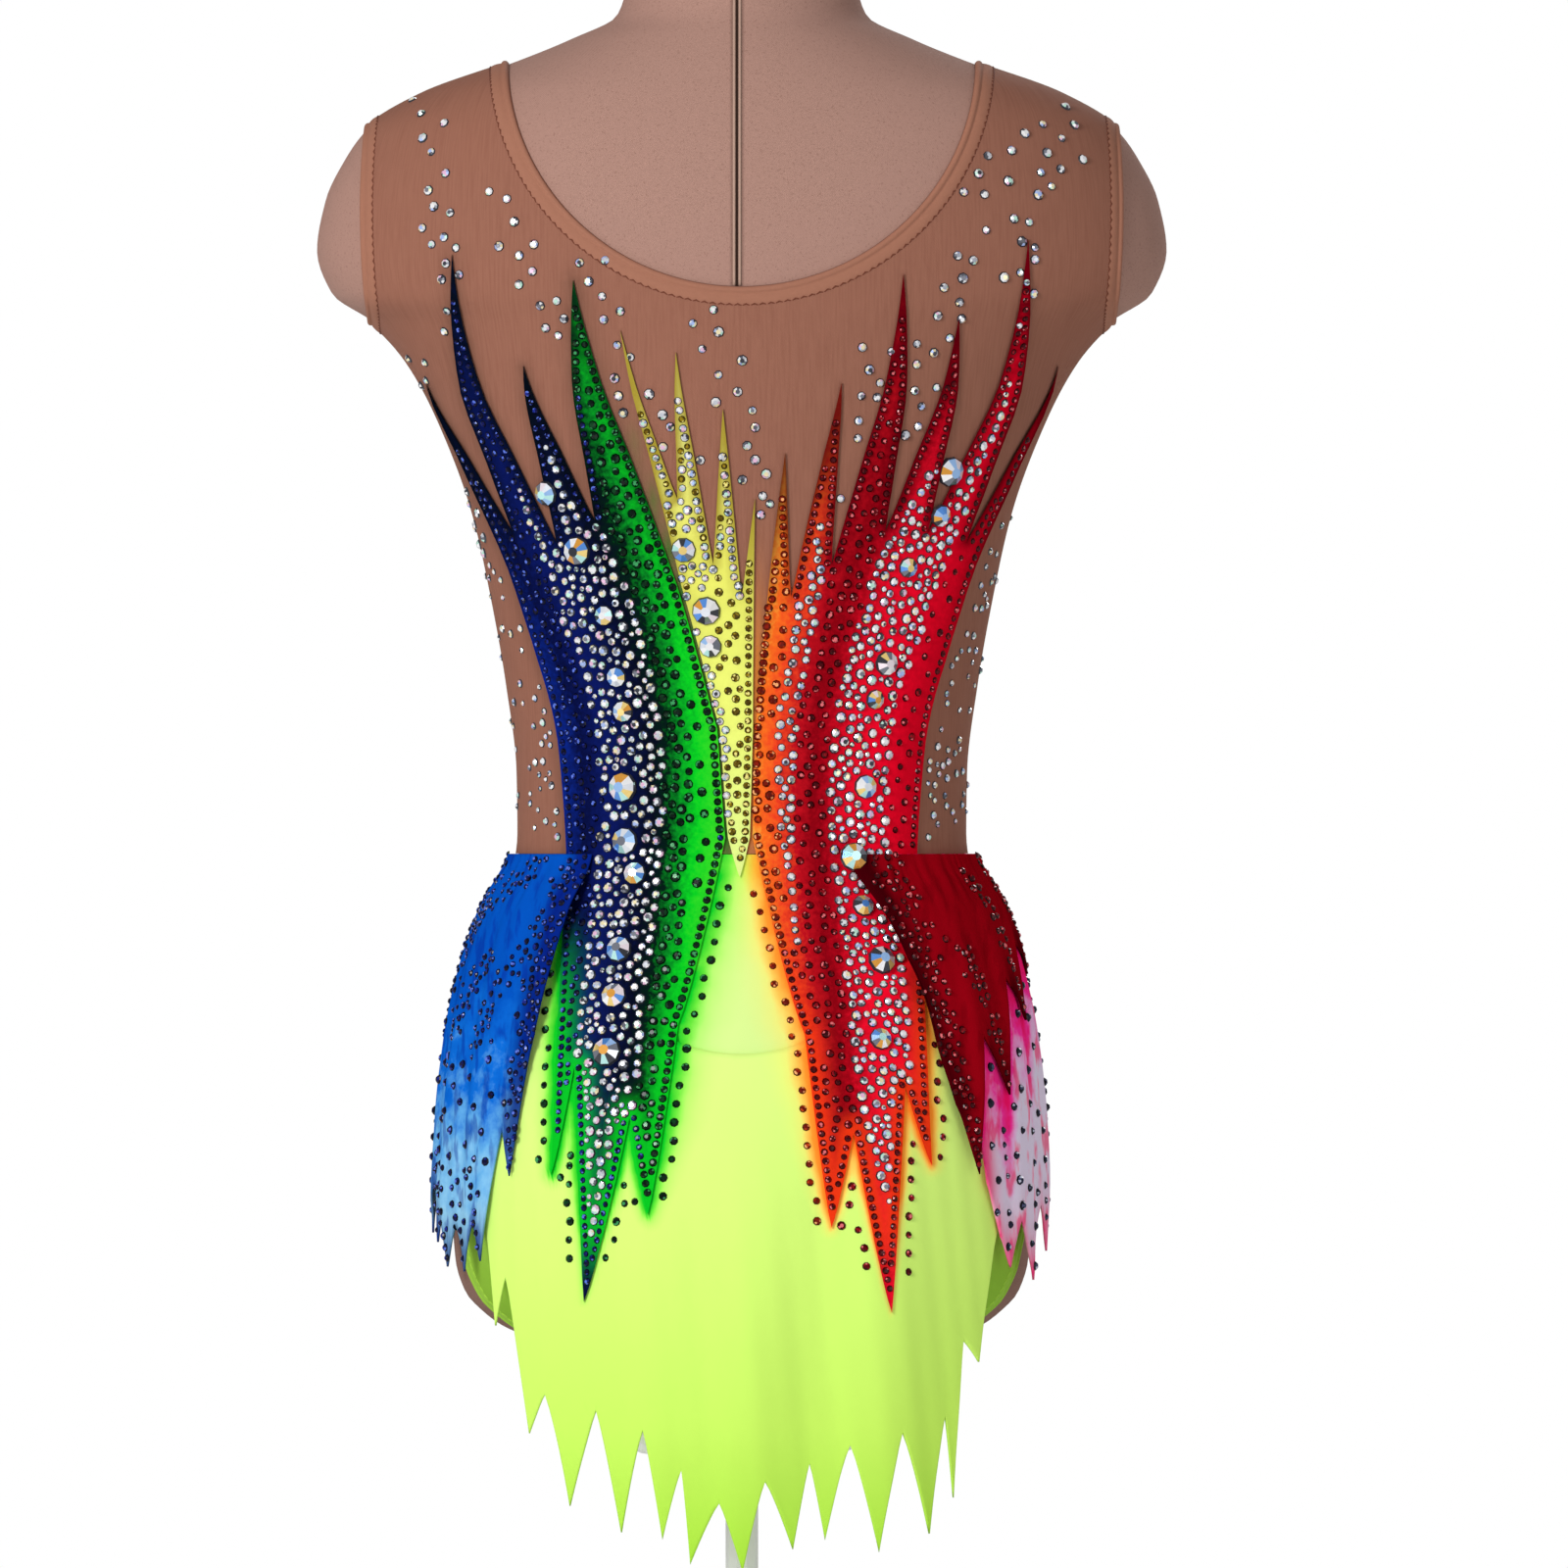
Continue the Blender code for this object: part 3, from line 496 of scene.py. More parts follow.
def ring_faces(first, second, count):
    """Quads between two rings of points, each given by the index of its first point."""
    faces = []
    for c in range(count):
        after = (c + 1) % count
        faces.append((first + c, first + after, second + after, second + c))
    return faces


def figure_sheet():
    """Points and faces of the figure's surface, open at the neck: underside rings first, then side rings."""
    angles = 2 * math.pi * (np.arange(COLUMNS) + 0.5) / COLUMNS
    rim = ring_points(angles, BODY_SECTIONS[0].height)
    rings = [np.array([[0.0, 0.0, UNDERSIDE_Z + CROTCH_RISE]])]
    for scale in UNDERSIDE_SCALES:
        ring = rim * scale
        rise = CROTCH_RISE * np.exp(-((ring[:, 0] / CROTCH_HALF_WIDTH) ** 2)) * (1 - scale**2)
        ring[:, 2] = UNDERSIDE_Z + (BODY_SECTIONS[0].height - UNDERSIDE_Z) * scale**8 + rise
        rings.append(ring)
    for height in ring_heights(RINGS):
        rings.append(ring_points(angles, height))
    faces = [(0, 1 + (c + 1) % COLUMNS, 1 + c) for c in range(COLUMNS)]
    for r in range(len(UNDERSIDE_SCALES) + RINGS - 1):
        faces += ring_faces(1 + r * COLUMNS, 1 + (r + 1) * COLUMNS, COLUMNS)
    return np.concatenate(rings), faces


# Meshes


def mesh_of(name, points, faces):
    mesh = bpy.data.meshes.new(name)
    mesh.from_pydata([tuple(map(float, p)) for p in points], [], [tuple(map(int, f)) for f in faces])
    mesh.validate()
    mesh.shade_smooth()
    return mesh


def outward_mesh(name, points, faces):
    """A closed mesh with its faces turned to point out."""
    shell = bmesh.new()
    shell.from_mesh(mesh_of(name, points, faces))
    bmesh.ops.recalc_face_normals(shell, faces=shell.faces)
    mesh = bpy.data.meshes.new(name)
    shell.to_mesh(mesh)
    shell.free()
    mesh.shade_smooth()
    return mesh


def linked(name, data):
    """A new object in the scene."""
    item = bpy.data.objects.new(name, data)
    bpy.context.scene.collection.objects.link(item)
    return item


def add_piece(name, mesh, look):
    """A visible piece that rides on the part's only body."""
    item = linked(name, mesh)
    mesh.materials.append(look)
    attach(item, "root")
    return item


def point_normals(points, faces):
    """Unit normals at the points of a sheet, from the faces round each."""
    points = np.asarray(points)
    normals = np.zeros_like(points)
    for size in (3, 4):
        group = np.array([f for f in faces if len(f) == size])
        if len(group) == 0:
            continue
        first = points[group[:, 1]] - points[group[:, 0]]
        second = points[group[:, -1]] - points[group[:, 0]]
        face_normal = np.cross(first, second)
        for k in range(size):
            np.add.at(normals, group[:, k], face_normal)
    return normals / np.maximum(np.linalg.norm(normals, axis=1, keepdims=True), 1e-12)


def cropped(sheet, keep):
    """The faces of a sheet whose every point passes keep(points), with the points they use."""
    points, faces, normals = sheet
    wanted = keep(points)
    kept = [f for f in faces if all(wanted[i] for i in f)]
    used = sorted({i for f in kept for i in f})
    place = {old: new for new, old in enumerate(used)}
    return points[used], [tuple(place[i] for i in f) for f in kept], normals[used]


def wall(sheet, lift, thickness):
    """A closed wall: the sheet moved out by lift, its copy moved out further, and a rim between them."""
    points, faces, normals = sheet
    count = len(points)
    inner = points + normals * lift
    outer = points + normals * (lift + thickness)
    built = [tuple(reversed(f)) for f in faces] + [tuple(i + count for i in f) for f in faces]
    uses = {}
    for f in faces:
        for a, b in zip(f, f[1:] + f[:1]):
            uses[(a, b)] = True
    for a, b in uses:
        if (b, a) not in uses:
            built.append((a, b, b + count, a + count))
    return np.concatenate([inner, outer]), built


def baked(item, cutters):
    """Applies the item's modifiers to its mesh and removes the helper solids that they used."""
    graph = bpy.context.evaluated_depsgraph_get()
    mesh = bpy.data.meshes.new_from_object(item.evaluated_get(graph))
    old = item.data
    item.modifiers.clear()
    item.data = mesh
    mesh.name = old.name
    for cutter in cutters:
        bpy.data.objects.remove(cutter)
    mesh.shade_smooth()
    mesh.set_sharp_from_angle(angle=SHARP_ANGLE)


def cut_piece(name, sheet, lift, thickness, cuts, look):
    """A wall of cloth cut by helper solids, given as (operation, solid) pairs."""
    item = add_piece(name, mesh_of(name, *wall(sheet, lift, thickness)), look)
    for operation, cutter in cuts:
        trim = item.modifiers.new(cutter.name, "BOOLEAN")
        trim.operation = operation
        trim.object = cutter
        trim.solver = "EXACT"
    baked(item, [cutter for _, cutter in cuts])
    return item


def swept_solid(name, start, end):
    """A helper solid between two like outlines of points."""
    count = len(start)
    faces = [tuple(range(count)), tuple(reversed(range(count, 2 * count)))]
    for i in range(count):
        after = (i + 1) % count
        faces.append((after, i, count + i, count + after))
    return linked(name, outward_mesh(name, start + end, faces))


def prism(name, outline, y_from, y_to):
    """A solid with an outline of (x, z) points, between two places along Y."""
    start, end = [[(x, y, z) for x, z in outline] for y in (y_from, y_to)]
    return swept_solid(name, start, end)


def leg_axes(side):
    along = Vector((side * math.cos(LEG_TILT), 0, -math.sin(LEG_TILT)))
    up = Vector((side * math.sin(LEG_TILT), 0, math.cos(LEG_TILT)))
    return along, up


def leg_line(side, turn, grow):
    """Start point of the line that draws one leg opening at a turn angle."""
    along, up = leg_axes(side)
    y = LEG_CENTRE_Y + (LEG_HALF_DEPTH + grow) * math.cos(turn)
    rise = LEG_CENTRE_UP + (LEG_HALF_HEIGHT + grow) * math.sin(turn)
    return along * LEG_START + up * rise + Vector((0, y, 0))


def leg_plug(side, grow):
    """A tilted elliptical plug that cuts one leg opening."""
    along, _ = leg_axes(side)
    starts = [leg_line(side, 2 * math.pi * i / LEG_STEPS, grow) for i in range(LEG_STEPS)]
    return swept_solid("leg_plug", starts, [start + along * FAR for start in starts])


# Patterns


def neckline(drop, grow):
    steps = [math.pi * i / NECK_STEPS for i in range(NECK_STEPS + 1)]
    across, depth = NECK_HALF_WIDTH + grow, drop + grow
    return [(-across * math.cos(a), NECK_SHOULDER_Z - depth * math.sin(a)) for a in steps]


def armhole(side, grow):
    edge = []
    for i in range(ARM_STEPS + 1):
        share = i / ARM_STEPS
        x = ARM_X - grow + ARM_BULGE * math.sin(math.pi * share)
        edge.append((side * x, ARM_LOW_Z + (ARM_HIGH_Z - ARM_LOW_Z) * share))
    return edge


def bodice_outline(neck_drop):
    low, high = WAIST_Z + HALF_SEAM, NECK_SHOULDER_Z + OVER_SHOULDER
    left = armhole(-1, ARM_BINDING_WIDTH * COVERED_SHARE)
    right = armhole(1, ARM_BINDING_WIDTH * COVERED_SHARE)
    neck = neckline(neck_drop, NECK_BINDING_WIDTH * COVERED_SHARE)
    outline = [(-FAR, low), (-FAR, ARM_LOW_Z)] + left + [(left[-1][0], high)]
    outline += [(neck[0][0], high)] + neck + [(neck[-1][0], high)]
    outline += [(right[-1][0], high)] + right[::-1] + [(FAR, ARM_LOW_Z), (FAR, low)]
    return outline


def flame_outline(panel):
    """A panel's outline as (x, z) points, with each edge curved so that the flames' tips are slender."""
    outline = []
    for i, start in enumerate(panel.edge):
        end = panel.edge[(i + 1) % len(panel.edge)]
        for step in range(FLAME_STEPS):
            share = step / FLAME_STEPS
            if end.height > start.height:
                sideways = share**FLAME_TAPER
            else:
                sideways = 1 - (1 - share) ** FLAME_TAPER
            height = start.height + (end.height - start.height) * share
            across = start.across + (end.across - start.across) * sideways
            outline.append((float(across * reach_at(height)), height))
    return outline


def tail_seam_height(x):
    return TAIL_SEAM_Z + TAIL_SEAM_CURVE * x * x


def below_seam_outline(margin):
    edge = []
    for i in range(TAIL_SEAM_STEPS + 1):
        x = TAIL_SEAM_HALF * (2 * i / TAIL_SEAM_STEPS - 1)
        edge.append((x, tail_seam_height(x) + margin))
    return [(-FAR, 0.0), (FAR, 0.0), (FAR, edge[-1][1])] + edge[::-1] + [(-FAR, edge[0][1])]


def crossing(inside, low, high):
    """Value between low and high at which inside(value) turns from true to false."""
    for _ in range(50):
        middle = (low + high) / 2
        if inside(middle):
            low = middle
        else:
            high = middle
    return (low + high) / 2


def half_neck(drop, grow):
    """Angles and heights along half the neckline, from the -X shoulder to the +X one, on the back's side."""
    across, depth = NECK_HALF_WIDTH + grow, drop + grow

    def beyond(turn):
        return across * math.cos(turn) > half_width_at(NECK_SHOULDER_Z - depth * math.sin(turn))

    first = crossing(beyond, 0.0, math.pi / 2)
    share = (1 - np.cos(np.linspace(0, math.pi, NECK_LOOP_STEPS))) / 2
    turn = first + (math.pi - 2 * first) * share
    height = NECK_SHOULDER_Z - depth * np.sin(turn)
    sine = np.clip(-across * np.cos(turn) / half_width_at(height), -1, 1)
    return np.arcsin(sine), height


def neck_loop(grow):
    """The whole neckline as (angle, height), once round from the -X shoulder over the back to the front."""
    back_angle, back_height = half_neck(NECK_DROP_BACK, grow)
    front_angle, front_height = half_neck(NECK_DROP_FRONT, grow)
    angle = np.concatenate([back_angle[:-1], (math.pi - front_angle[::-1])[:-1]])
    return angle, np.concatenate([back_height[:-1], front_height[::-1][:-1]])


def arm_x(height, grow):
    share = (height - ARM_LOW_Z) / (ARM_HIGH_Z - ARM_LOW_Z)
    return ARM_X - grow + ARM_BULGE * np.sin(np.pi * np.clip(share, 0, 1))


def arm_loop(side, grow):
    """An armhole as (angle, height), up the back and down the front."""
    low = crossing(lambda z: arm_x(z, grow) > half_width_at(z), ARM_LOOP_LOW_Z, ARM_MIDDLE_Z)
    high = crossing(lambda z: arm_x(z, grow) < half_width_at(z), ARM_MIDDLE_Z, ARM_LOOP_HIGH_Z)
    height = (low + high) / 2 - (high - low) / 2 * np.cos(np.linspace(0, math.pi, ARM_LOOP_STEPS))
    angle = np.arcsin(np.clip(arm_x(height, grow) / half_width_at(height), -1, 1))
    whole = np.concatenate([angle[:-1], (math.pi - angle[::-1])[:-1]])
    return side * whole, np.concatenate([height[:-1], height[::-1][:-1]])


def binding_rise(share):
    """Height of a binding across its width, as a share: a rolled edge, a crease, then a flatter part."""
    rolled = np.sin(np.pi * np.clip(share / 0.40, 0, 1)) ** 0.5
    flat = 0.80 * np.sin(np.pi * np.clip((share - 0.28) / 0.72, 0, 1)) ** 0.35
    return np.maximum(rolled, flat)


def binding_profile(width):
    """Across and lift of a binding's outline: over its outer face, then back along its inner one."""
    shares = [i / BINDING_STEPS for i in range(BINDING_STEPS + 1)]
    outer = [(width * share, BODICE_LIFT + BINDING_HEIGHT * float(binding_rise(share))) for share in shares]
    return outer + [(width * 0.66, BODICE_LIFT), (width * 0.33, BODICE_LIFT)]


def closed_band(rings):
    """Points and faces of a closed band: each ring of points is joined to the next, the last to the first."""
    count = len(rings[0])
    points = np.concatenate(rings)
    faces = []
    for r in range(len(rings)):
        faces += ring_faces(r * count, (r + 1) % len(rings) * count, count)
    return points, faces


def loop_band(name, loop, width, look):
    """A rolled binding laid on the figure along a loop of its pattern."""
    rings = []
    for across, lift in binding_profile(width):
        angle, level = loop(across)
        rings.append(on_figure(angle, level, np.full(len(angle), lift)))
    points, faces = closed_band(rings)
    return add_piece(name, outward_mesh(name, points, faces), look)


def leg_rays(side, grow, tree):
    """Points and normals of a leg opening's edge on the figure, found by rays along the opening's axis."""
    along, _ = leg_axes(side)
    points, normals = [], []
    for i in range(LEG_LOOP_STEPS):
        start = leg_line(side, 2 * math.pi * i / LEG_LOOP_STEPS, grow) + along * 2 * FAR
        place, normal, _, _ = tree.ray_cast(start, -along)
        points.append(place)
        normals.append(normal)
    return np.array(points), np.array(normals)


def leg_band(name, side, tree, look):
    rings = []
    for across, lift in binding_profile(LEG_BINDING_WIDTH):
        points, normals = leg_rays(side, across, tree)
        rings.append(points + normals * lift)
    points, faces = closed_band(rings)
    return add_piece(name, outward_mesh(name, points, faces), look)


# Tail and drapes


def fold_depth(angle, drop):
    """How far the tail's folds stand out at an angle, growing with the drop below the seam."""
    degrees = np.degrees(angle)
    depth = 0.0
    for fold in TAIL_FOLDS:
        depth = depth + fold.depth * np.exp(-(((degrees - fold.degrees) / fold.width_degrees) ** 2))
    return depth * smoothstep(drop / FOLD_GROWTH_DROP)


def tail_points(angle, height, seam_height):
    drop = seam_height - height
    lift = TAIL_TOP_LIFT + TAIL_SWELL * smoothstep(drop / TAIL_SWELL_DROP)
    lift = lift + TAIL_FLARE * np.maximum(0.0, HIP_Z - height) + fold_depth(angle, drop)
    ripple = RIPPLE_DEPTH * np.sin(angle * RIPPLE_TURNS + height * RIPPLE_SLANT)
    lift = lift + ripple * smoothstep(drop / RIPPLE_DROP)
    return ring_points(angle, height, lift, np.maximum(height, HIP_Z))


def seam_height_at(angle):
    """Height where the tail's seam line crosses a column of the figure."""
    height = np.full_like(angle, TAIL_SEAM_Z)
    for _ in range(12):
        height = tail_seam_height(half_width_at(height) * np.sin(angle))
    return height


def fine_edge(rows, steps, taper):
    """A hem's corner points with more between them, so that its cut points are slender."""
    first, second = np.array([[row[0] for row in rows], [row[1] for row in rows]])
    across, height = [], []
    for i in range(len(rows) - 1):
        for step in range(steps):
            share = step / steps
            if second[i + 1] < second[i]:
                sideways = share**taper
            else:
                sideways = 1 - (1 - share) ** taper
            across.append(first[i] + (first[i + 1] - first[i]) * sideways)
            height.append(second[i] + (second[i + 1] - second[i]) * share)
    return np.array(across + [first[-1]]), np.array(height + [second[-1]])


def grid_sheet(grid):
    """Points, faces and normals of a sheet given as a grid of columns, each from top to hem."""
    columns, rows = grid.shape[:2]
    points = grid.reshape(-1, 3)
    faces = []
    for c in range(columns - 1):
        for r in range(rows - 1):
            here = c * rows + r
            faces.append((here, here + 1, here + rows + 1, here + rows))
    return points, faces, point_normals(points, faces)


def tail_sheet():
    across, height = fine_edge(TAIL_HEM, HEM_STEPS, HEM_TAPER)
    widest = half_width_at(HIP_Z) + TAIL_TOP_LIFT + TAIL_SWELL
    hem_angle = np.arcsin(across / (widest + TAIL_FLARE * np.maximum(0.0, HIP_Z - height)))
    top = seam_height_at(hem_angle * TAIL_TOP_SPREAD)
    share = np.linspace(0, 1, TAIL_ROWS + 1)[None, :]
    angle = hem_angle[:, None] * (TAIL_TOP_SPREAD + (1 - TAIL_TOP_SPREAD) * share)
    level = top[:, None] + (height - top)[:, None] * share
    return grid_sheet(tail_points(angle, level, np.broadcast_to(top[:, None], level.shape)))


def lapped_tail_sheet(tail):
    """The tail's outer face, lapped over its top edge onto the bodice's flames."""
    points, _, normals = tail
    rows = TAIL_ROWS + 1
    grid = (points + normals * (CLOTH + SEAM_GAP)).reshape(-1, rows, 3)
    top = points.reshape(-1, rows, 3)[:, 0]
    above = []
    for rise, lift in ((LAP, FLAME_LIFT), (LAP / 2, FLAME_LIFT + LAP_CURL)):
        height = top[:, 2] + rise
        angle = ring_angle(top)
        above.append(on_figure(angle, height, np.full(len(height), lift))[:, None])
    return grid_sheet(np.concatenate(above + [grid], axis=1))


def drape_sheet(drape):
    degrees, hem = fine_edge(drape.hem, HEM_STEPS, HEM_TAPER)
    share = np.linspace(0, 1, DRAPE_ROWS + 1)[None, :]
    length = (DRAPE_TOP_Z - hem)[:, None]
    drop = length * share**DROP_EASE
    level = DRAPE_TOP_Z - drop
    angle = np.radians(degrees[:, None] - drape.lean * (1 - drop / length)) * drape.side
    lift = drape.top_lift + drape.swell * smoothstep(drop / DRAPE_SWELL_DROP)
    lift = lift - drape.sink * smoothstep((drop - DRAPE_SWELL_DROP) / DRAPE_SINK_DROP)
    waves = sum(wave.depth * np.sin(angle * wave.turns + wave.shift) for wave in DRAPE_WAVES)
    gathers = GATHER_DEPTH * np.sin(angle * GATHER_TURNS + GATHER_SWAY * np.sin(angle * GATHER_SWAY_TURNS))
    gathers = gathers * np.exp(-((drop - GATHER_DROP) / GATHER_DROP) ** 2)
    lift = lift + waves * smoothstep(drop / WAVE_DROP) + gathers
    grid = ring_points(angle, level, lift, np.maximum(level, HIP_Z))
    return grid_sheet(grid if drape.side > 0 else grid[::-1])


# Values that the materials read


def ring_angle(points):
    """Angle on the figure's rings of points on or near it."""
    level = np.maximum(points[:, 2], HIP_Z)
    depth = np.where(points[:, 1] < 0, back_at(level), front_at(level))
    return np.arctan2(points[:, 0] / half_width_at(level), -points[:, 1] / depth)


def flat_place(points):
    """Place on the cloth in metres, across it and up it, for the knit."""
    level = np.maximum(points[:, 2], HIP_Z)
    return np.stack([ring_angle(points) * half_width_at(level), points[:, 2]], axis=1)


def set_uv(mesh, name, values):
    layer = mesh.uv_layers.new(name=name)
    corner = np.zeros(len(mesh.loops), dtype=np.int32)
    mesh.loops.foreach_get("vertex_index", corner)
    layer.data.foreach_set("uv", np.asarray(values, dtype=np.float32)[corner].ravel())


def set_value(mesh, name, values):
    layer = mesh.attributes.new(name, "FLOAT", "POINT")
    layer.data.foreach_set("value", np.asarray(values, dtype=np.float32))


def mesh_points(mesh):
    found = np.zeros(len(mesh.vertices) * 3)
    mesh.vertices.foreach_get("co", found)
    return found.reshape(-1, 3)


def signed_distance(places, outline):
    """Distance of each (x, z) place to an outline, below zero inside it."""
    corners = np.array(outline)
    nearest = np.full(len(places), 9.0)
    inside = np.zeros(len(places), dtype=bool)
    for a, b in zip(corners, np.roll(corners, -1, axis=0)):
        edge = b - a
        along = np.clip(((places - a) @ edge) / max(edge @ edge, 1e-12), 0, 1)
        nearest = np.minimum(nearest, np.linalg.norm(places - a - along[:, None] * edge, axis=1))
        if a[1] != b[1]:
            level = (a[1] > places[:, 1]) != (b[1] > places[:, 1])
            inside ^= level & (places[:, 0] < a[0] + (places[:, 1] - a[1]) * edge[0] / (b[1] - a[1]))
    return np.where(inside, -nearest, nearest)


def lean_at(height):
    """How far the flames lean out above and below the waist, as a share of their reach."""
    up = LANE_LEAN_UP * np.maximum(0, height - LANE_HIGH_Z)
    return up + LANE_LEAN_DOWN * np.maximum(0, LANE_LOW_Z - height)


def lane_of(x, height):
    """Place across the flames, 0 at the middle, along lines that lean out with them."""
    return np.abs(x / reach_at(height)) - lean_at(height)


def add_cloth_values(item):
    points = mesh_points(item.data)
    set_uv(item.data, "knit", flat_place(points))
    return points


def add_halos(item, strength, reach):
    """How much of the flames' colour is airbrushed beside them onto the cloth that carries them; on the mesh,
    how much painted shadow lies beside them.
    """
    points = add_cloth_values(item)
    heights = points[:, 2]
    strength = strength * blend(heights, 0.175, 0.060, 0.35, 1.0)
    strength = np.where(points[:, 1] > HALO_FRONT_Y, 0.0, strength)
    spread = blend(heights, 0.190, 0.110, 0.35, 1.30)
    spread = spread * blend(lane_of(points[:, 0], heights), 0.20, 0.30, 1.25, 0.75)
    for (name, share), outline in zip(HALO_SHARES, (COOL_OUTLINE, WARM_OUTLINE)):
        away = np.maximum(0, signed_distance(points[:, [0, 2]], outline))
        set_value(item.data, name, strength * np.exp(-((away / (reach * spread * share)) ** 1.2)))


def add_joints(item):
    """Where the mesh shows as a hairline between two flame panels and takes their dye."""
    points = mesh_points(item.data)
    places = points[:, [0, 2]]
    yellow = signed_distance(places, YELLOW_OUTLINE)
    for name, outline in (("cool_joint", COOL_OUTLINE), ("warm_joint", WARM_OUTLINE)):
        away = np.maximum(0, np.maximum(yellow, signed_distance(places, outline)))
        set_value(item.data, name, JOINT * np.exp(-((away / JOINT_REACH) ** 2)))


def add_flame_values(item, outline):
    """Lanes for the bands of colour, and how much of the edges' colours the cloth takes."""
    points = add_cloth_values(item)
    heights = points[:, 2]
    set_uv(item.data, "design", np.stack([lane_of(points[:, 0], heights), heights], axis=1))
    inside = np.maximum(0, -signed_distance(points[:, [0, 2]], outline))
    dark = np.minimum(EDGE_DARK, blend(heights, 0.46, 0.10, 0.10, 1.0))
    bright = RIM * blend(heights, 0.185, 0.030, 0.0, 1.0) * blend(heights, 0.29, 0.07, 1.0, 0.0)
    set_value(item.data, "shade", dark * np.exp(-((inside / EDGE_DEPTH) ** 1.5)))
    set_value(item.data, "rim", bright * np.exp(-((inside / RIM_DEPTH) ** 2.2)))


# Materials


def paint(red, green, blue):
    """A colour from its screen values, 0 to 255."""
    shares = np.array([red, green, blue]) / 255
    linear = np.where(shares <= 0.04045, shares / 12.92, ((shares + 0.055) / 1.055) ** 2.4)
    return (*map(float, linear), 1.0)


def grey(depth):
    return (depth, depth, depth, 1.0)


# Each stop is a place along its ramp and the colour there
LIME_GLOW = 0.05
HALOS = [
    ("warm_halo", paint(248, 226, 104), paint(255, 148, 46)),
    ("cool_halo", paint(136, 240, 72), paint(16, 196, 38)),
]
# Painted shade: the tail's lime darkens towards the hem
TAIL_STOPS = [
    (0.06, paint(164, 220, 62)),
    (0.12, paint(194, 238, 96)),
    (0.20, paint(208, 246, 116)),
    (0.29, paint(218, 250, 134)),
]
# Painted shade: the body's lime darkens low down on the brief, under the tail and drapes; above that a paler
# band, then lime
BODY_STOPS = [
    (0.19, paint(134, 178, 58)),
    (0.25, paint(180, 226, 94)),
    (0.29, paint(211, 239, 144)),
    (0.37, paint(217, 239, 138)),
    (0.45, paint(196, 240, 100)),
]
COOL_STOPS = [
    (0.06, paint(66, 222, 40)),
    (0.24, paint(10, 200, 34)),
    (0.34, paint(8, 130, 34)),
    (0.41, paint(5, 30, 20)),
    (0.50, paint(8, 12, 30)),
    (0.60, paint(10, 18, 60)),
    (0.74, paint(12, 24, 92)),
    (0.86, paint(8, 14, 58)),
    (0.98, paint(12, 36, 128)),
]
WARM_STOPS = [
    (0.02, paint(255, 176, 66)),
    (0.10, paint(250, 112, 34)),
    (0.20, paint(238, 66, 34)),
    (0.29, paint(190, 16, 30)),
    (0.40, paint(138, 4, 18)),
    (0.47, paint(176, 8, 26)),
    (0.58, paint(246, 16, 44)),
    (0.74, paint(255, 10, 44)),
    (0.90, paint(214, 6, 34)),
]
YELLOW_STOPS = [
    (0.36, paint(226, 250, 150)),
    (0.44, paint(236, 246, 120)),
    (0.52, paint(232, 232, 104)),
    (0.60, paint(238, 242, 150)),
]
BLUE_STOPS = [
    (0.30, paint(5, 80, 184)),
    (0.52, paint(14, 104, 206)),
    (0.70, paint(96, 168, 224)),
    (0.92, paint(146, 204, 236)),
]
PINK_STOPS = [
    (0.00, paint(255, 22, 108)),
    (0.16, paint(255, 56, 164)),
    (0.34, paint(238, 170, 220)),
    (0.52, paint(226, 212, 234)),
]
DARK_RED_STOPS = [
    (0.10, paint(148, 3, 18)),
    (0.90, paint(160, 5, 22)),
]
# Painted shade across the form's seam, by distance from it: dark in the groove between the piping, lighter in
# a band beside each piping
PIPING_SHADE_STOPS = [(0.06, grey(1.0)), (0.10, grey(0.1)), (0.21, grey(0.45)), (0.36, grey(0.0))]


def connect(tree, socket, value):
    if isinstance(value, bpy.types.NodeSocket):
        tree.links.new(value, socket)
    else:
        socket.default_value = value


def add_node(tree, kind, inputs=None, **settings):
    item = tree.nodes.new("ShaderNode" + kind)
    for key, value in settings.items():
        setattr(item, key, value)
    for key, value in (inputs or {}).items():
        connect(tree, item.inputs[key], value)
    return item


def calc(tree, operation, first, second=0.0):
    return add_node(tree, "Math", {0: first, 1: second}, operation=operation).outputs[0]


def mixed(tree, factor, first, second, mode="MIX"):
    item = add_node(tree, "Mix", data_type="RGBA", blend_type=mode)
    for place, value in ((0, factor), (6, first), (7, second)):
        connect(tree, item.inputs[place], value)
    return item.outputs[2]


def noise(tree, size, detail=2.0, roughness=0.5):
    """A noise value from 0 to 1 with features of about one size in metres, fixed to the object."""
    place = add_node(tree, "TexCoord").outputs["Object"]
    inputs = {"Vector": place, "Scale": 1 / size, "Detail": detail, "Roughness": roughness}
    return add_node(tree, "TexNoise", inputs).outputs[0]


def streaks(tree, across, along, detail=2.0):
    """A noise value from 0 to 1 in streaks that run down the cloth."""
    place = add_node(tree, "UVMap", uv_map="knit").outputs["UV"]
    inputs = {0: place, 1: (1 / across, 1 / along, 1.0)}
    spread = add_node(tree, "VectorMath", inputs, operation="MULTIPLY").outputs[0]
    return add_node(tree, "TexNoise", {"Vector": spread, "Scale": 1.0, "Detail": detail}).outputs[0]


def value_of(tree, name):
    return add_node(tree, "Attribute", attribute_name=name).outputs["Fac"]


def object_place(tree):
    """The place on the object, as its X, Y and Z."""
    place = add_node(tree, "TexCoord").outputs["Object"]
    return add_node(tree, "SeparateXYZ", {"Vector": place}).outputs


def layer_place(tree, layer):
    """The place in a UV layer of the cloth, as its X and Y."""
    place = add_node(tree, "UVMap", uv_map=layer).outputs["UV"]
    return add_node(tree, "SeparateXYZ", {"Vector": place}).outputs


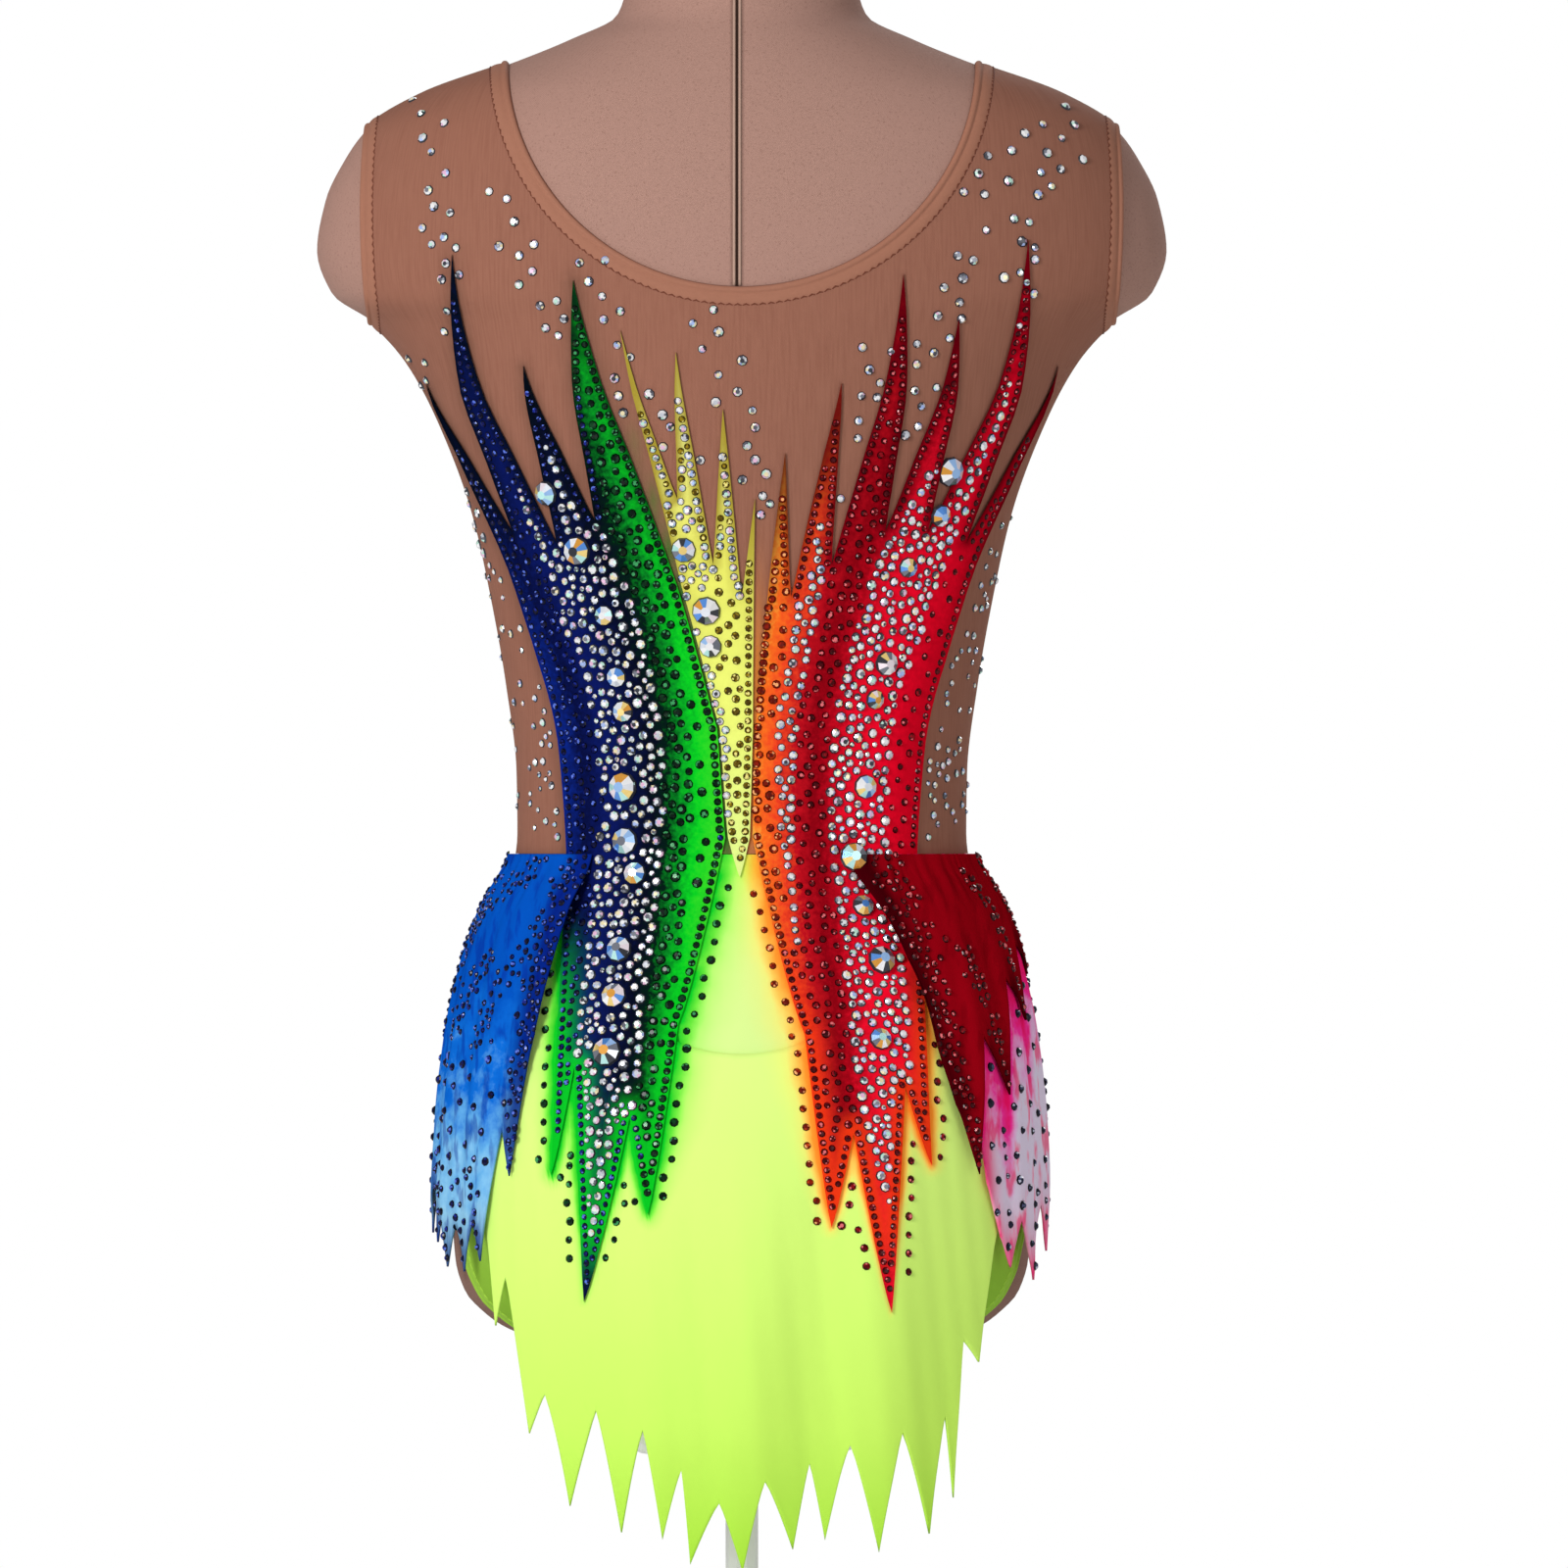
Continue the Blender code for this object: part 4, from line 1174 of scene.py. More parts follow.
def centred_noise(tree, amount, size, detail, roughness=0.5):
    """A noise value that strays from zero by up to half the amount."""
    value = noise(tree, size, detail, roughness)
    return calc(tree, "MULTIPLY", calc(tree, "SUBTRACT", value, 0.5), amount)


def ramp(tree, factor, stops):
    item = add_node(tree, "ValToRGB", {"Fac": factor})
    elements = item.color_ramp.elements
    while len(elements) < len(stops):
        elements.new(0.5)
    for element, (position, color) in zip(elements, stops):
        element.position = position
        element.color = color
    return item.outputs[0]


def fade(tree, factor, low, high):
    """Black up to one value, white from another on, and a soft step between them."""
    return ramp(tree, factor, [(low, grey(0.0)), (high, grey(1.0))])


def new_look(name, roughness, sheen=0.0, specular=0.3):
    look = bpy.data.materials.new(name)
    look.use_nodes = True
    tree = look.node_tree
    shader = tree.nodes["Principled BSDF"]
    shader.inputs["Roughness"].default_value = roughness
    shader.inputs["Specular IOR Level"].default_value = specular
    shader.inputs["Sheen Weight"].default_value = sheen
    shader.inputs["Sheen Roughness"].default_value = 0.4
    return look, tree, shader


def add_bump(tree, shader, height, depth, strength):
    bump = add_node(tree, "Bump", {"Height": height, "Distance": depth, "Strength": strength})
    tree.links.new(bump.outputs[0], shader.inputs["Normal"])


def add_knit(tree, shader, knit):
    """A bump of fine knitted loops, with soft unevenness."""
    place = layer_place(tree, "knit")
    across = calc(tree, "SINE", calc(tree, "MULTIPLY", place["X"], 2 * math.pi / knit.pitch))
    along = calc(tree, "SINE", calc(tree, "MULTIPLY", place["Y"], 2 * math.pi / (knit.pitch * LOOP_HEIGHT)))
    loops = calc(tree, "MULTIPLY", across, along)
    height = calc(tree, "ADD", loops, calc(tree, "MULTIPLY", noise(tree, 0.006), 2.0))
    add_bump(tree, shader, height, knit.depth, knit.strength)


def mottled(tree, color, amount, size):
    """A colour with a slight change of depth over the cloth."""
    dark = mixed(tree, 1.0, color, grey(0.72), "MULTIPLY")
    spread = calc(tree, "MULTIPLY", noise(tree, size, 4.0, 0.6), amount)
    return mixed(tree, spread, color, dark)


def form_look():
    """Knitted cover, with darker specks, painted shade in the seam's groove and beside the piping, and
    painted shade on its lower part.
    """
    look, tree, shader = new_look("look_form_jersey", 0.90, 0.04, 0.05)
    cloth = mottled(tree, paint(173, 134, 121), 0.55, 0.0016)
    speck = fade(tree, noise(tree, 0.0009, 1.0), 0.60, 0.72)
    cloth = mixed(tree, calc(tree, "MULTIPLY", speck, 0.45), cloth, paint(128, 94, 82))
    place = object_place(tree)
    # Painted shade: the cover darkens from the waist down towards the hips
    low_shade = ramp(tree, place["Z"], [(0.22, (0.62, 0.58, 0.56, 1.0)), (0.40, grey(1.0))])
    cloth = mixed(tree, 1.0, cloth, low_shade, "MULTIPLY")
    # Painted shade along the seam, in its groove and beside the piping
    aside = calc(tree, "ABSOLUTE", calc(tree, "SUBTRACT", place["X"], SEAM_X))
    piping_shade = ramp(tree, calc(tree, "MULTIPLY", aside, 100), PIPING_SHADE_STOPS)
    above = calc(tree, "GREATER_THAN", place["Z"], SEAM_LOW_Z)
    cloth = mixed(tree, calc(tree, "MULTIPLY", piping_shade, above), cloth, paint(52, 36, 30))
    tree.links.new(cloth, shader.inputs["Base Color"])
    add_knit(tree, shader, FORM_KNIT)
    return look


def piping_look():
    look, tree, shader = new_look("look_piping", 0.8, 0.03, 0.05)
    tree.links.new(mottled(tree, paint(182, 150, 134), 0.5, 0.001), shader.inputs["Base Color"])
    return look


def mesh_look():
    """Sheer ribbed mesh, with painted shadow beside the cool flames, which takes the flames' dye where it
    shows between them.
    """
    look, tree, shader = new_look("look_nude_mesh", 0.80, 0.03, 0.05)
    cloth = mottled(tree, paint(160, 108, 89), 0.25, 0.0035)
    ribs = fade(tree, streaks(tree, 0.0011, 0.020), 0.40, 0.66)
    cloth = mixed(tree, calc(tree, "MULTIPLY", ribs, 0.30), cloth, paint(134, 84, 68))
    # Painted shadow: the mesh darkens beside the cool flames
    cloth = mixed(tree, value_of(tree, "cool_halo"), cloth, paint(70, 52, 40))
    cloth = mixed(tree, value_of(tree, "cool_joint"), cloth, paint(14, 120, 30))
    cloth = mixed(tree, value_of(tree, "warm_joint"), cloth, paint(236, 140, 40))
    tree.links.new(cloth, shader.inputs["Base Color"])
    shader.inputs["Alpha"].default_value = 0.86
    add_knit(tree, shader, MESH_KNIT)
    return look


def binding_look(name, color, amount=0.4):
    look, tree, shader = new_look(name, 0.8, 0.03, 0.05)
    tree.links.new(mottled(tree, color, amount, 0.002), shader.inputs["Base Color"])
    add_knit(tree, shader, BINDING_KNIT)
    return look


def lime_look(name, stops):
    """Lime knit that changes colour up its height, with painted shade low down, colour airbrushed onto it
    beside the flames, and a painted glow: it gives off a little light of its own.
    """
    look, tree, shader = new_look(name, 0.70, 0.0, 0.0)
    cloth = ramp(tree, object_place(tree)["Z"], stops)
    cloth = mottled(tree, cloth, 0.12, 0.03)
    uneven = calc(tree, "ADD", calc(tree, "MULTIPLY", noise(tree, 0.020, 3.0), 1.1), 0.45)
    for halo_name, outer, inner in HALOS:
        halo = calc(tree, "MULTIPLY", value_of(tree, halo_name), uneven)
        cloth = mixed(tree, fade(tree, halo, 0.04, 0.60), cloth, outer)
        cloth = mixed(tree, fade(tree, halo, 0.34, 0.84), cloth, inner)
    tree.links.new(cloth, shader.inputs["Base Color"])
    # Painted glow: the lime gives off a little light of its own
    tree.links.new(cloth, shader.inputs["Emission Color"])
    shader.inputs["Emission Strength"].default_value = LIME_GLOW
    add_knit(tree, shader, CLOTH_KNIT)
    return look


def flame_look(name, stops, dark, bright):
    """Dyed knit: bands of colour that follow the flames, with dark edges at the top and bright ones below."""
    look, tree, shader = new_look(name, 0.65, 0.0, 0.0)
    lane = layer_place(tree, "design")["X"]
    drift = centred_noise(tree, 0.07, 0.012, 3.0)
    rough = centred_noise(tree, 0.16, 0.0022, 2.0)
    cloth = ramp(tree, calc(tree, "ADD", lane, calc(tree, "ADD", drift, rough)), stops)
    cloth = mottled(tree, cloth, 0.18, 0.004)
    cloth = mixed(tree, value_of(tree, "rim"), cloth, bright)
    cloth = mixed(tree, value_of(tree, "shade"), cloth, dark)
    tree.links.new(cloth, shader.inputs["Base Color"])
    add_knit(tree, shader, CLOTH_KNIT)
    return look


def yellow_look():
    """Dyed knit that changes colour up its height."""
    look, tree, shader = new_look("look_yellow_cloth", 0.65, 0.0, 0.0)
    height = layer_place(tree, "design")["Y"]
    cloth = mottled(tree, ramp(tree, height, YELLOW_STOPS), 0.3, 0.004)
    cloth = mixed(tree, value_of(tree, "shade"), cloth, paint(150, 128, 30))
    tree.links.new(cloth, shader.inputs["Base Color"])
    add_knit(tree, shader, CLOTH_KNIT)
    return look


def drape_look(name, stops, edge, streak, spread):
    """Dyed knit that changes colour down its fall, with soft streaks and dark or bright points."""
    look, tree, shader = new_look(name, 0.65, 0.0, 0.0)
    drift = centred_noise(tree, 0.7, 0.014, 4.0, 0.6)
    cloth = ramp(tree, calc(tree, "ADD", value_of(tree, "fall"), drift), stops)
    bands = fade(tree, streaks(tree, 0.007, 0.022, 3.0), 0.53, 0.62)
    cloth = mixed(tree, calc(tree, "MULTIPLY", bands, spread), cloth, streak)
    cloth = mixed(tree, value_of(tree, "shade"), cloth, edge)
    tree.links.new(cloth, shader.inputs["Base Color"])
    add_knit(tree, shader, CLOTH_KNIT)
    return look


def stone_look(name, metallic, specular):
    """Cut glass: each facet has its own colour and depth, which paint its reflections, glints and shade, over
    a bright foil.
    """
    look, tree, shader = new_look(name, 0.10, 0.0, specular)
    tint = add_node(tree, "Attribute", attribute_name="tint").outputs["Color"]
    tree.links.new(mottled(tree, tint, 0.5, 0.0012), shader.inputs["Base Color"])
    shader.inputs["Metallic"].default_value = metallic
    return look


def stand_look():
    look, tree, shader = new_look("look_stand_paint", 0.35, 0.0, 0.5)
    tree.links.new(mottled(tree, paint(240, 240, 238), 0.08, 0.02), shader.inputs["Base Color"])
    add_bump(tree, shader, noise(tree, 0.0015, 2.0), 0.00005, 0.4)
    return look


# Pieces


def make_form(look):
    """The form's cover: the figure, closed over the neck."""
    points, faces = figure_sheet()
    first = len(points) - COLUMNS
    rim = points[first:]
    rings = []
    for scale, rise in NECK_CAP:
        ring = rim * scale
        ring[:, 2] = rim[:, 2] + rise
        rings.append(ring)
    for r in range(len(NECK_CAP)):
        faces += ring_faces(first + r * COLUMNS, first + (r + 1) * COLUMNS, COLUMNS)
    top = first + len(NECK_CAP) * COLUMNS
    centre = len(points) + len(NECK_CAP) * COLUMNS
    faces += [(top + c, top + (c + 1) % COLUMNS, centre) for c in range(COLUMNS)]
    points = np.concatenate([points] + rings + [np.array([[0, 0, BODY_SECTIONS[-1].height + NECK_CAP_RISE]])])
    item = add_piece("form_cover", mesh_of("form_cover", points, faces), look)
    add_cloth_values(item)
    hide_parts("form_torso")
    return item


def tube(path, radius, sides=6):
    """Points and faces of a closed tube along a path of points."""
    points, faces = [], []
    across = Vector((0.3, 0.9, 0.2))
    for i, place in enumerate(path):
        ahead = Vector(path[min(i + 1, len(path) - 1)] - path[max(i - 1, 0)]).normalized()
        across = (across - ahead * across.dot(ahead)).normalized()
        out = across.cross(ahead)
        for k in range(sides):
            turn = 2 * math.pi * k / sides
            points.append(Vector(place) + (across * math.cos(turn) + out * math.sin(turn)) * radius)
    for i in range(len(path) - 1):
        faces += ring_faces(i * sides, (i + 1) * sides, sides)
    faces.append(tuple(reversed(range(sides))))
    faces.append(tuple(range((len(path) - 1) * sides, len(path) * sides)))
    return points, faces


def make_piping(look):
    """Double piping down the form's centre back and centre front, from the neck's top to the neckline."""
    points, faces = [], []
    for side, shift in ((-1, PIPING_GAP), (-1, -PIPING_GAP), (1, PIPING_GAP), (1, -PIPING_GAP)):
        low = NECK_SHOULDER_Z - (NECK_DROP_BACK if side < 0 else NECK_DROP_FRONT) + PIPING_LOW_GAP
        heights = np.linspace(low, BODY_SECTIONS[-1].height - PIPING_HIGH_GAP, PIPING_STEPS)
        angle = np.arcsin((SEAM_X + shift) / half_width_at(heights))
        if side > 0:
            angle = math.pi - angle
        path = on_figure(angle, heights, np.full(PIPING_STEPS, PIPING_LIFT))
        new_points, new_faces = tube(path, PIPING_RADIUS)
        faces += [tuple(i + len(points) for i in f) for f in new_faces]
        points += new_points
    item = add_piece("form_piping", outward_mesh("form_piping", points, faces), look)
    return item


def even_steps(points, count):
    """Places at a number of even steps along a line of points."""
    steps = np.linalg.norm(np.diff(points, axis=0), axis=1)
    travel = np.concatenate([[0.0], np.cumsum(steps)])
    wanted = np.linspace(0, travel[-1], count)
    return np.stack([np.interp(wanted, travel, points[:, k]) for k in range(3)], axis=1)


def resampled(points, spacing):
    """Places and directions at even steps of about one spacing along a line of points."""
    length = np.linalg.norm(np.diff(points, axis=0), axis=1).sum()
    places = even_steps(points, max(2, int(length / spacing)))
    ahead = np.gradient(places, axis=0)
    return places, ahead / np.linalg.norm(ahead, axis=1, keepdims=True)


def make_stitches(name, first, second, look, slot):
    """A thread that steps to and fro between two lines of points."""
    places, _ = resampled(first, STITCH)
    others = even_steps(second, len(places))
    places[1::2] = others[1::2]
    points, faces = tube(places, THREAD_RADIUS)
    item = add_piece(name, outward_mesh(name, points, faces), look)
    return item


def band_line(loop, share, width):
    """A line on top of a binding, at a share of its width."""
    angle, level = loop(width * share)
    lift = BODICE_LIFT + BINDING_HEIGHT * float(binding_rise(share))
    points = on_figure(angle, level, np.full(len(angle), lift))
    return np.concatenate([points, points[:1]])


# Stones


RAY_START = 0.4
CELL_SIZE = 0.016
STONE_TIP = 0.06
LARGE_SIZES = (0.0095, 0.0145)
TRAIL_SIZES = (0.0042, 0.0056)
PATCH_SIZES = (0.0028, 0.0044)
DRAPE_ROW_SIZES = (0.0030, 0.0042)
DRAPE_SINGLE_SIZES = (0.0038, 0.0050)
SWIRL_SIZES = (0.0026, 0.0036)
LARGE_SPACING = 1.02
EDGE_SPACING = 1.02
PATCH_SPACING = 1.12
DRAPE_ROW_SPACING = 1.06
DRAPE_SINGLE_SPACING = 2.3
SWIRL_SPACING = 1.04
EDGE_WANDER = 0.0015
EDGE_MARGIN = 0.0016
EDGE_OVERHANG = 0.0004
EDGE_NEAREST = 0.0013
EDGE_SLACK = 0.0006
EDGE_PROBE = 0.001
ZONE_LOW_TAPER = 0.10
ZONE_HIGH_TAPER = 0.17
ZONE_NARROWEST = 0.12
LARGE_WANDER = 0.05
TRAIL_WANDER = 0.004
TRAIL_SPACING = 1.04
Cut = namedtuple("Cut", "sides rings")
SMALL_CUT = Cut(8, [(1.0, 0.0), (0.80, 0.15), (0.42, 0.32)])
LARGE_CUT = Cut(10, [(1.0, 0.0), (0.90, 0.12), (0.34, 0.33)])

# Screen colours of each kind of stone: the underside and the lowest facets first, in painted shade, then the
# other facets, which take the stone's own colour with painted reflections and glints
FACET_COLOURS_AND_GLINTS = {
    "crystals_large": [
        (60, 62, 70), (252, 252, 254), (236, 240, 248), (160, 200, 250), (90, 150, 230),
        (246, 214, 130), (228, 160, 60), (120, 124, 136), (52, 54, 62), (250, 236, 244),
        (190, 240, 236),
    ],
    "crystals": [
        (52, 54, 62), (252, 252, 254), (244, 246, 250), (252, 252, 254), (206, 210, 220),
        (128, 132, 144), (60, 62, 72), (96, 98, 110), (176, 198, 250), (244, 196, 228),
        (252, 236, 190), (200, 244, 226), (252, 252, 254),
    ],
    "stones_green": [
        (2, 12, 8), (4, 26, 14), (3, 16, 10), (4, 24, 14), (8, 60, 28),
        (6, 40, 20), (60, 150, 90),
    ],
    "stones_navy": [
        (2, 3, 18), (8, 12, 60), (4, 6, 34), (6, 8, 44), (18, 36, 130),
        (10, 18, 84), (90, 116, 214),
    ],
    "stones_gold": [
        (44, 34, 4), (110, 88, 12), (70, 54, 8), (90, 72, 10), (150, 126, 24),
        (80, 62, 8), (236, 224, 130),
    ],
    "stones_orange": [
        (60, 8, 2), (140, 26, 4), (96, 16, 3), (120, 22, 4), (190, 60, 12),
        (110, 18, 4), (246, 170, 110),
    ],
    "stones_red": [
        (34, 0, 4), (90, 2, 10), (56, 0, 6), (72, 1, 8), (140, 6, 20),
        (64, 0, 8), (226, 110, 116),
    ],
    "stones_smoke": [
        (10, 10, 20), (36, 38, 62), (18, 18, 34), (26, 28, 48), (70, 76, 108),
        (30, 32, 54), (190, 194, 214),
    ],
}


def stone_group(name, places, normals, diameters, cut):
    """Faceted stones as one piece, each turned and tipped a little, each facet with a colour of its own:
    painted shade below, painted reflections and glints above.
    """
    sides, rings = cut
    local = []
    for radius, rise in rings:
        for k in range(sides):
            turn = 2 * math.pi * k / sides
            local.append((radius * math.cos(turn) / 2, radius * math.sin(turn) / 2, rise))
    local = np.array(local)
    shape = [tuple(reversed(range(sides)))]
    for r in range(len(rings) - 1):
        shape += ring_faces(r * sides, (r + 1) * sides, sides)
    shape.append(tuple(range((len(rings) - 1) * sides, len(rings) * sides)))
    points, faces, colors = [], [], []
    rim_shade, *facets = [np.array(paint(*tint)) for tint in FACET_COLOURS_AND_GLINTS[name]]
    for i, (place, normal, diameter) in enumerate(zip(places, normals, diameters)):
        tip = Vector(normal) + Vector([random.uniform(-STONE_TIP, STONE_TIP) for _ in range(3)])
        turn = tip.to_track_quat("Z", "Y").to_matrix() @ Matrix.Rotation(random.uniform(0, math.pi), 3, "Z")
        points.append(local @ np.array(turn).T * diameter + place)
        for number, face in enumerate(shape):
            faces.append(tuple(v + i * len(local) for v in face))
            # The underside and lowest facets take the painted shade, the others a random colour from the
            # painted reflections and glints
            color = rim_shade if number <= sides else random.choice(facets)
            colors += [color] * len(face)
    mesh = bpy.data.meshes.new(name)
    mesh.from_pydata([tuple(p) for p in np.concatenate(points).tolist()], [], faces)
    mesh.shade_flat()
    tint = mesh.color_attributes.new("tint", "FLOAT_COLOR", "CORNER")
    tint.data.foreach_set("color", np.array(colors, dtype=np.float32).ravel())
    return mesh


def carrier(items):
    """One search tree over several pieces, with the piece that each of its faces belongs to."""
    points, faces, owners = [], [], []
    for item in items:
        first = len(points)
        points += [tuple(v.co) for v in item.data.vertices]
        for face in item.data.polygons:
            faces.append(tuple(first + i for i in face.vertices))
            owners.append(item.name)
    return BVHTree.FromPolygons(points, faces), owners


class Setter:
    """Keeps places for stones on the pieces, each clear of the others."""

    def __init__(self, tree, owners):
        self.tree = tree
        self.owners = owners
        self.cells = {}
        self.groups = {}

    def hit(self, start, ahead):
        """The place, normal and piece that a ray meets first."""
        place, normal, index, _ = self.tree.ray_cast(Vector(start), Vector(ahead))
        if place is None:
            return None
        if normal.dot(Vector(ahead)) > 0:
            normal = -normal
        return place, normal, self.owners[index]

    def hit_behind(self, x, z):
        """The place that a ray from behind the wearer meets first."""
        return self.hit((x, -RAY_START, z), (0, 1, 0))

    def free(self, place, room):
        """Whether a place has room for a stone. If it has, the place is taken."""
        key = [int(math.floor(c / CELL_SIZE)) for c in place]
        for dx in (-1, 0, 1):
            for dy in (-1, 0, 1):
                for dz in (-1, 0, 1):
                    for other, other_room in self.cells.get((key[0] + dx, key[1] + dy, key[2] + dz), ()):
                        if (other - place).length < (room + other_room):
                            return False
        self.cells.setdefault(tuple(key), []).append((place.copy(), room))
        return True

    def put(self, group, found, diameter, spacing):
        """Keeps a found place for a stone, if it has room there."""
        place, normal, _ = found
        if self.free(place, diameter / 2 * spacing):
            self.groups.setdefault(group, []).append((place, normal, diameter))


# Lanes are places across the flames, 0 at the middle, as in lane_of
Zone = namedtuple("Zone", "panel group lane spread low high smallest largest spacing tries")
ZONES = [
    Zone("cool", "crystals", 0.600, 0.170, 0.180, 0.650, 0.0042, 0.0056, 0.99, 22000),
    Zone("warm", "crystals", 0.640, 0.155, 0.185, 0.650, 0.0042, 0.0056, 0.99, 22000),
    Zone("cool", "crystals", 0.600, 0.165, 0.180, 0.650, 0.0028, 0.0038, 0.99, 12000),
    Zone("warm", "crystals", 0.640, 0.150, 0.185, 0.650, 0.0028, 0.0038, 0.99, 12000),
    Zone("warm", "crystals", 0.240, 0.050, 0.340, 0.640, 0.0038, 0.0050, 1.00, 9000),
    Zone("yellow", "crystals", -0.215, 0.075, 0.425, 0.640, 0.0036, 0.0050, 1.02, 9000),
]
Fill = namedtuple("Fill", "panel group lane_from lane_to low high smallest largest spacing tries")
FILLS = [
    Fill("cool", "stones_green", 0.28, 0.50, 0.180, 0.660, 0.0038, 0.0052, 1.08, 9000),
    Fill("cool", "stones_green", 0.00, 0.28, 0.200, 0.560, 0.0042, 0.0058, 1.70, 3000),
    Fill("cool", "stones_navy", 0.50, 1.10, 0.180, 0.670, 0.0030, 0.0042, 1.14, 12000),
    Fill("warm", "stones_orange", -0.10, 0.20, 0.200, 0.600, 0.0038, 0.0048, 1.30, 5000),
    Fill("warm", "stones_red", 0.20, 0.52, 0.180, 0.670, 0.0032, 0.0044, 1.30, 9000),
    Fill("warm", "stones_red", 0.52, 1.10, 0.180, 0.670, 0.0030, 0.0042, 1.90, 5000),
    Fill("yellow", "stones_gold", -0.40, 0.08, 0.375, 0.620, 0.0034, 0.0044, 1.25, 6000),
]
EdgeRow = namedtuple("EdgeRow", "panel side low high lane_below depth group smallest largest")
EDGE_ROWS = [
    EdgeRow("yellow", -1, 0.400, 0.510, 1.50, 0.0009, "crystals", 0.0038, 0.0046),
    EdgeRow("yellow", -1, 0.430, 0.640, 1.50, 0.0025, "crystals", 0.0036, 0.0046),
    EdgeRow("yellow", 0, 0.370, 0.640, 1.50, 0.0022, "stones_gold", 0.0030, 0.0038),
    EdgeRow("warm", 1, 0.396, 0.495, 0.12, 0.0009, "stones_orange", 0.0038, 0.0044),
    EdgeRow("cool", 0, 0.170, 0.700, 0.36, 0.0022, "stones_green", 0.0034, 0.0042),
    EdgeRow("cool", 0, 0.170, 0.700, 1.50, 0.0022, "stones_navy", 0.0030, 0.0036),
    EdgeRow("warm", 0, 0.170, 0.700, 0.16, 0.0022, "stones_orange", 0.0032, 0.0040),
    EdgeRow("warm", 0, 0.170, 0.700, 1.50, 0.0022, "stones_red", 0.0030, 0.0036),
    EdgeRow("cool", 0, 0.190, 0.370, 1.50, -0.0050, "stones_green", 0.0034, 0.0046),
    EdgeRow("warm", 0, 0.190, 0.370, 0.30, -0.0048, "stones_orange", 0.0034, 0.0044),
    EdgeRow("warm", 0, 0.190, 0.370, 1.50, -0.0048, "stones_red", 0.0034, 0.0044),
]
EDGE_STEP = 0.0042
LargeRow = namedtuple("LargeRow", "side lane low high count")
LARGE_ROWS = [
    LargeRow(-1, 0.60, 0.28, 0.56, 11),
    LargeRow(1, 0.64, 0.28, 0.58, 10),
    LargeRow(-1, 0.15, 0.46, 0.54, 3),
]
Trail = namedtuple("Trail", "x_from z_from x_to z_to bow wide count")
TRAILS = [
    Trail(-0.150, 0.735, -0.135, 0.625, 0.006, 0.007, 26),
    Trail(-0.112, 0.690, -0.052, 0.585, -0.010, 0.008, 30),
    Trail(-0.070, 0.655, -0.020, 0.560, -0.008, 0.008, 18),
    Trail(-0.020, 0.630, 0.008, 0.540, 0.006, 0.009, 22),
    Trail(0.120, 0.715, 0.062, 0.590, 0.012, 0.010, 60),
    Trail(0.152, 0.722, 0.128, 0.640, -0.006, 0.008, 30),
    Trail(0.100, 0.640, 0.075, 0.560, 0.004, 0.008, 40),
    Trail(0.058, 0.615, 0.030, 0.500, 0.006, 0.007, 36),
    Trail(-0.150, 0.610, -0.118, 0.520, -0.004, 0.006, 40),
]
PATCH_TRIES = 900
PATCH_DEGREES = (50, 100)
PATCH_LOW_Z = 0.388
PATCH_HIGH_Z = 0.56
PATCH_REACH = 0.009
PATCH_MARGIN = 0.0026
PATCH_LIKELY = 1.1
PATCH_FADE = 0.20

# Tip rows run up from each cut point, the edge row up the drape's back edge. Densities are for 5 cm of row
DRAPE_FIELDS = "drape group rise lean wide tip_density edge_wide edge_density singles singles_below"
DrapeStones = namedtuple("DrapeStones", DRAPE_FIELDS)
DRAPE_STONES = [
    DrapeStones(0, "stones_navy", 0.045, -6.0, 1.5, 24, 2.3, 640, 700, 0.290),
    DrapeStones(2, "stones_red", 0.065, 9.0, 1.2, 140, 2.0, 420, 60, 0.380),
    DrapeStones(1, "stones_smoke", 0.020, 2.0, 0.5, 6, 0.5, 6, 900, 0.330),
]
DRAPE_STONES_FROM = 40
DRAPE_STONES_TO = 125
DRAPE_STONES_LOW_Z = 0.19
DRAPE_RAY_LIFT = 0.10
DENSITY_LENGTH = 0.05
TIP_GAP = 0.004
SWIRL_EASE = 1.3
SWIRL_WANDER = 0.003
Swirl = namedtuple("Swirl", "from_degrees from_z to_degrees to_z wide tries")
SWIRLS = [
    Swirl(84, 0.404, 90, 0.300, 3.2, 190),
    Swirl(58, 0.376, 84, 0.346, 2.4, 170),
    Swirl(47, 0.350, 64, 0.292, 1.5, 170),
    Swirl(64, 0.336, 80, 0.284, 1.9, 130),
]


def set_large(setter):
    """Large crystals down the middle of the crystal bands."""
    for row in LARGE_ROWS:
        for i in range(row.count):
            height = row.low + (row.high - row.low) * (i + random.uniform(0.2, 0.8)) / row.count
            lane = row.lane + random.uniform(-LARGE_WANDER, LARGE_WANDER)
            x = row.side * (lane + lean_at(height)) * float(reach_at(height))
            found = setter.hit_behind(x, height)
            setter.put("crystals_large", found, random.uniform(*LARGE_SIZES), LARGE_SPACING)


def spread_over(panel, lanes, heights):
    """Places (x, z) at lanes and heights in one panel, and how deep inside it each lies."""
    side = -1 if panel == "cool" else 1
    if panel == "yellow":
        xs = lanes * reach_at(heights)
    else:
        xs = side * (lanes + lean_at(heights)) * reach_at(heights)
    places = np.stack([xs, heights], axis=1)
    return places, -signed_distance(places, OUTLINES[panel])


def random_values(count, low, high):
    return np.array([random.uniform(low, high) for _ in range(count)])


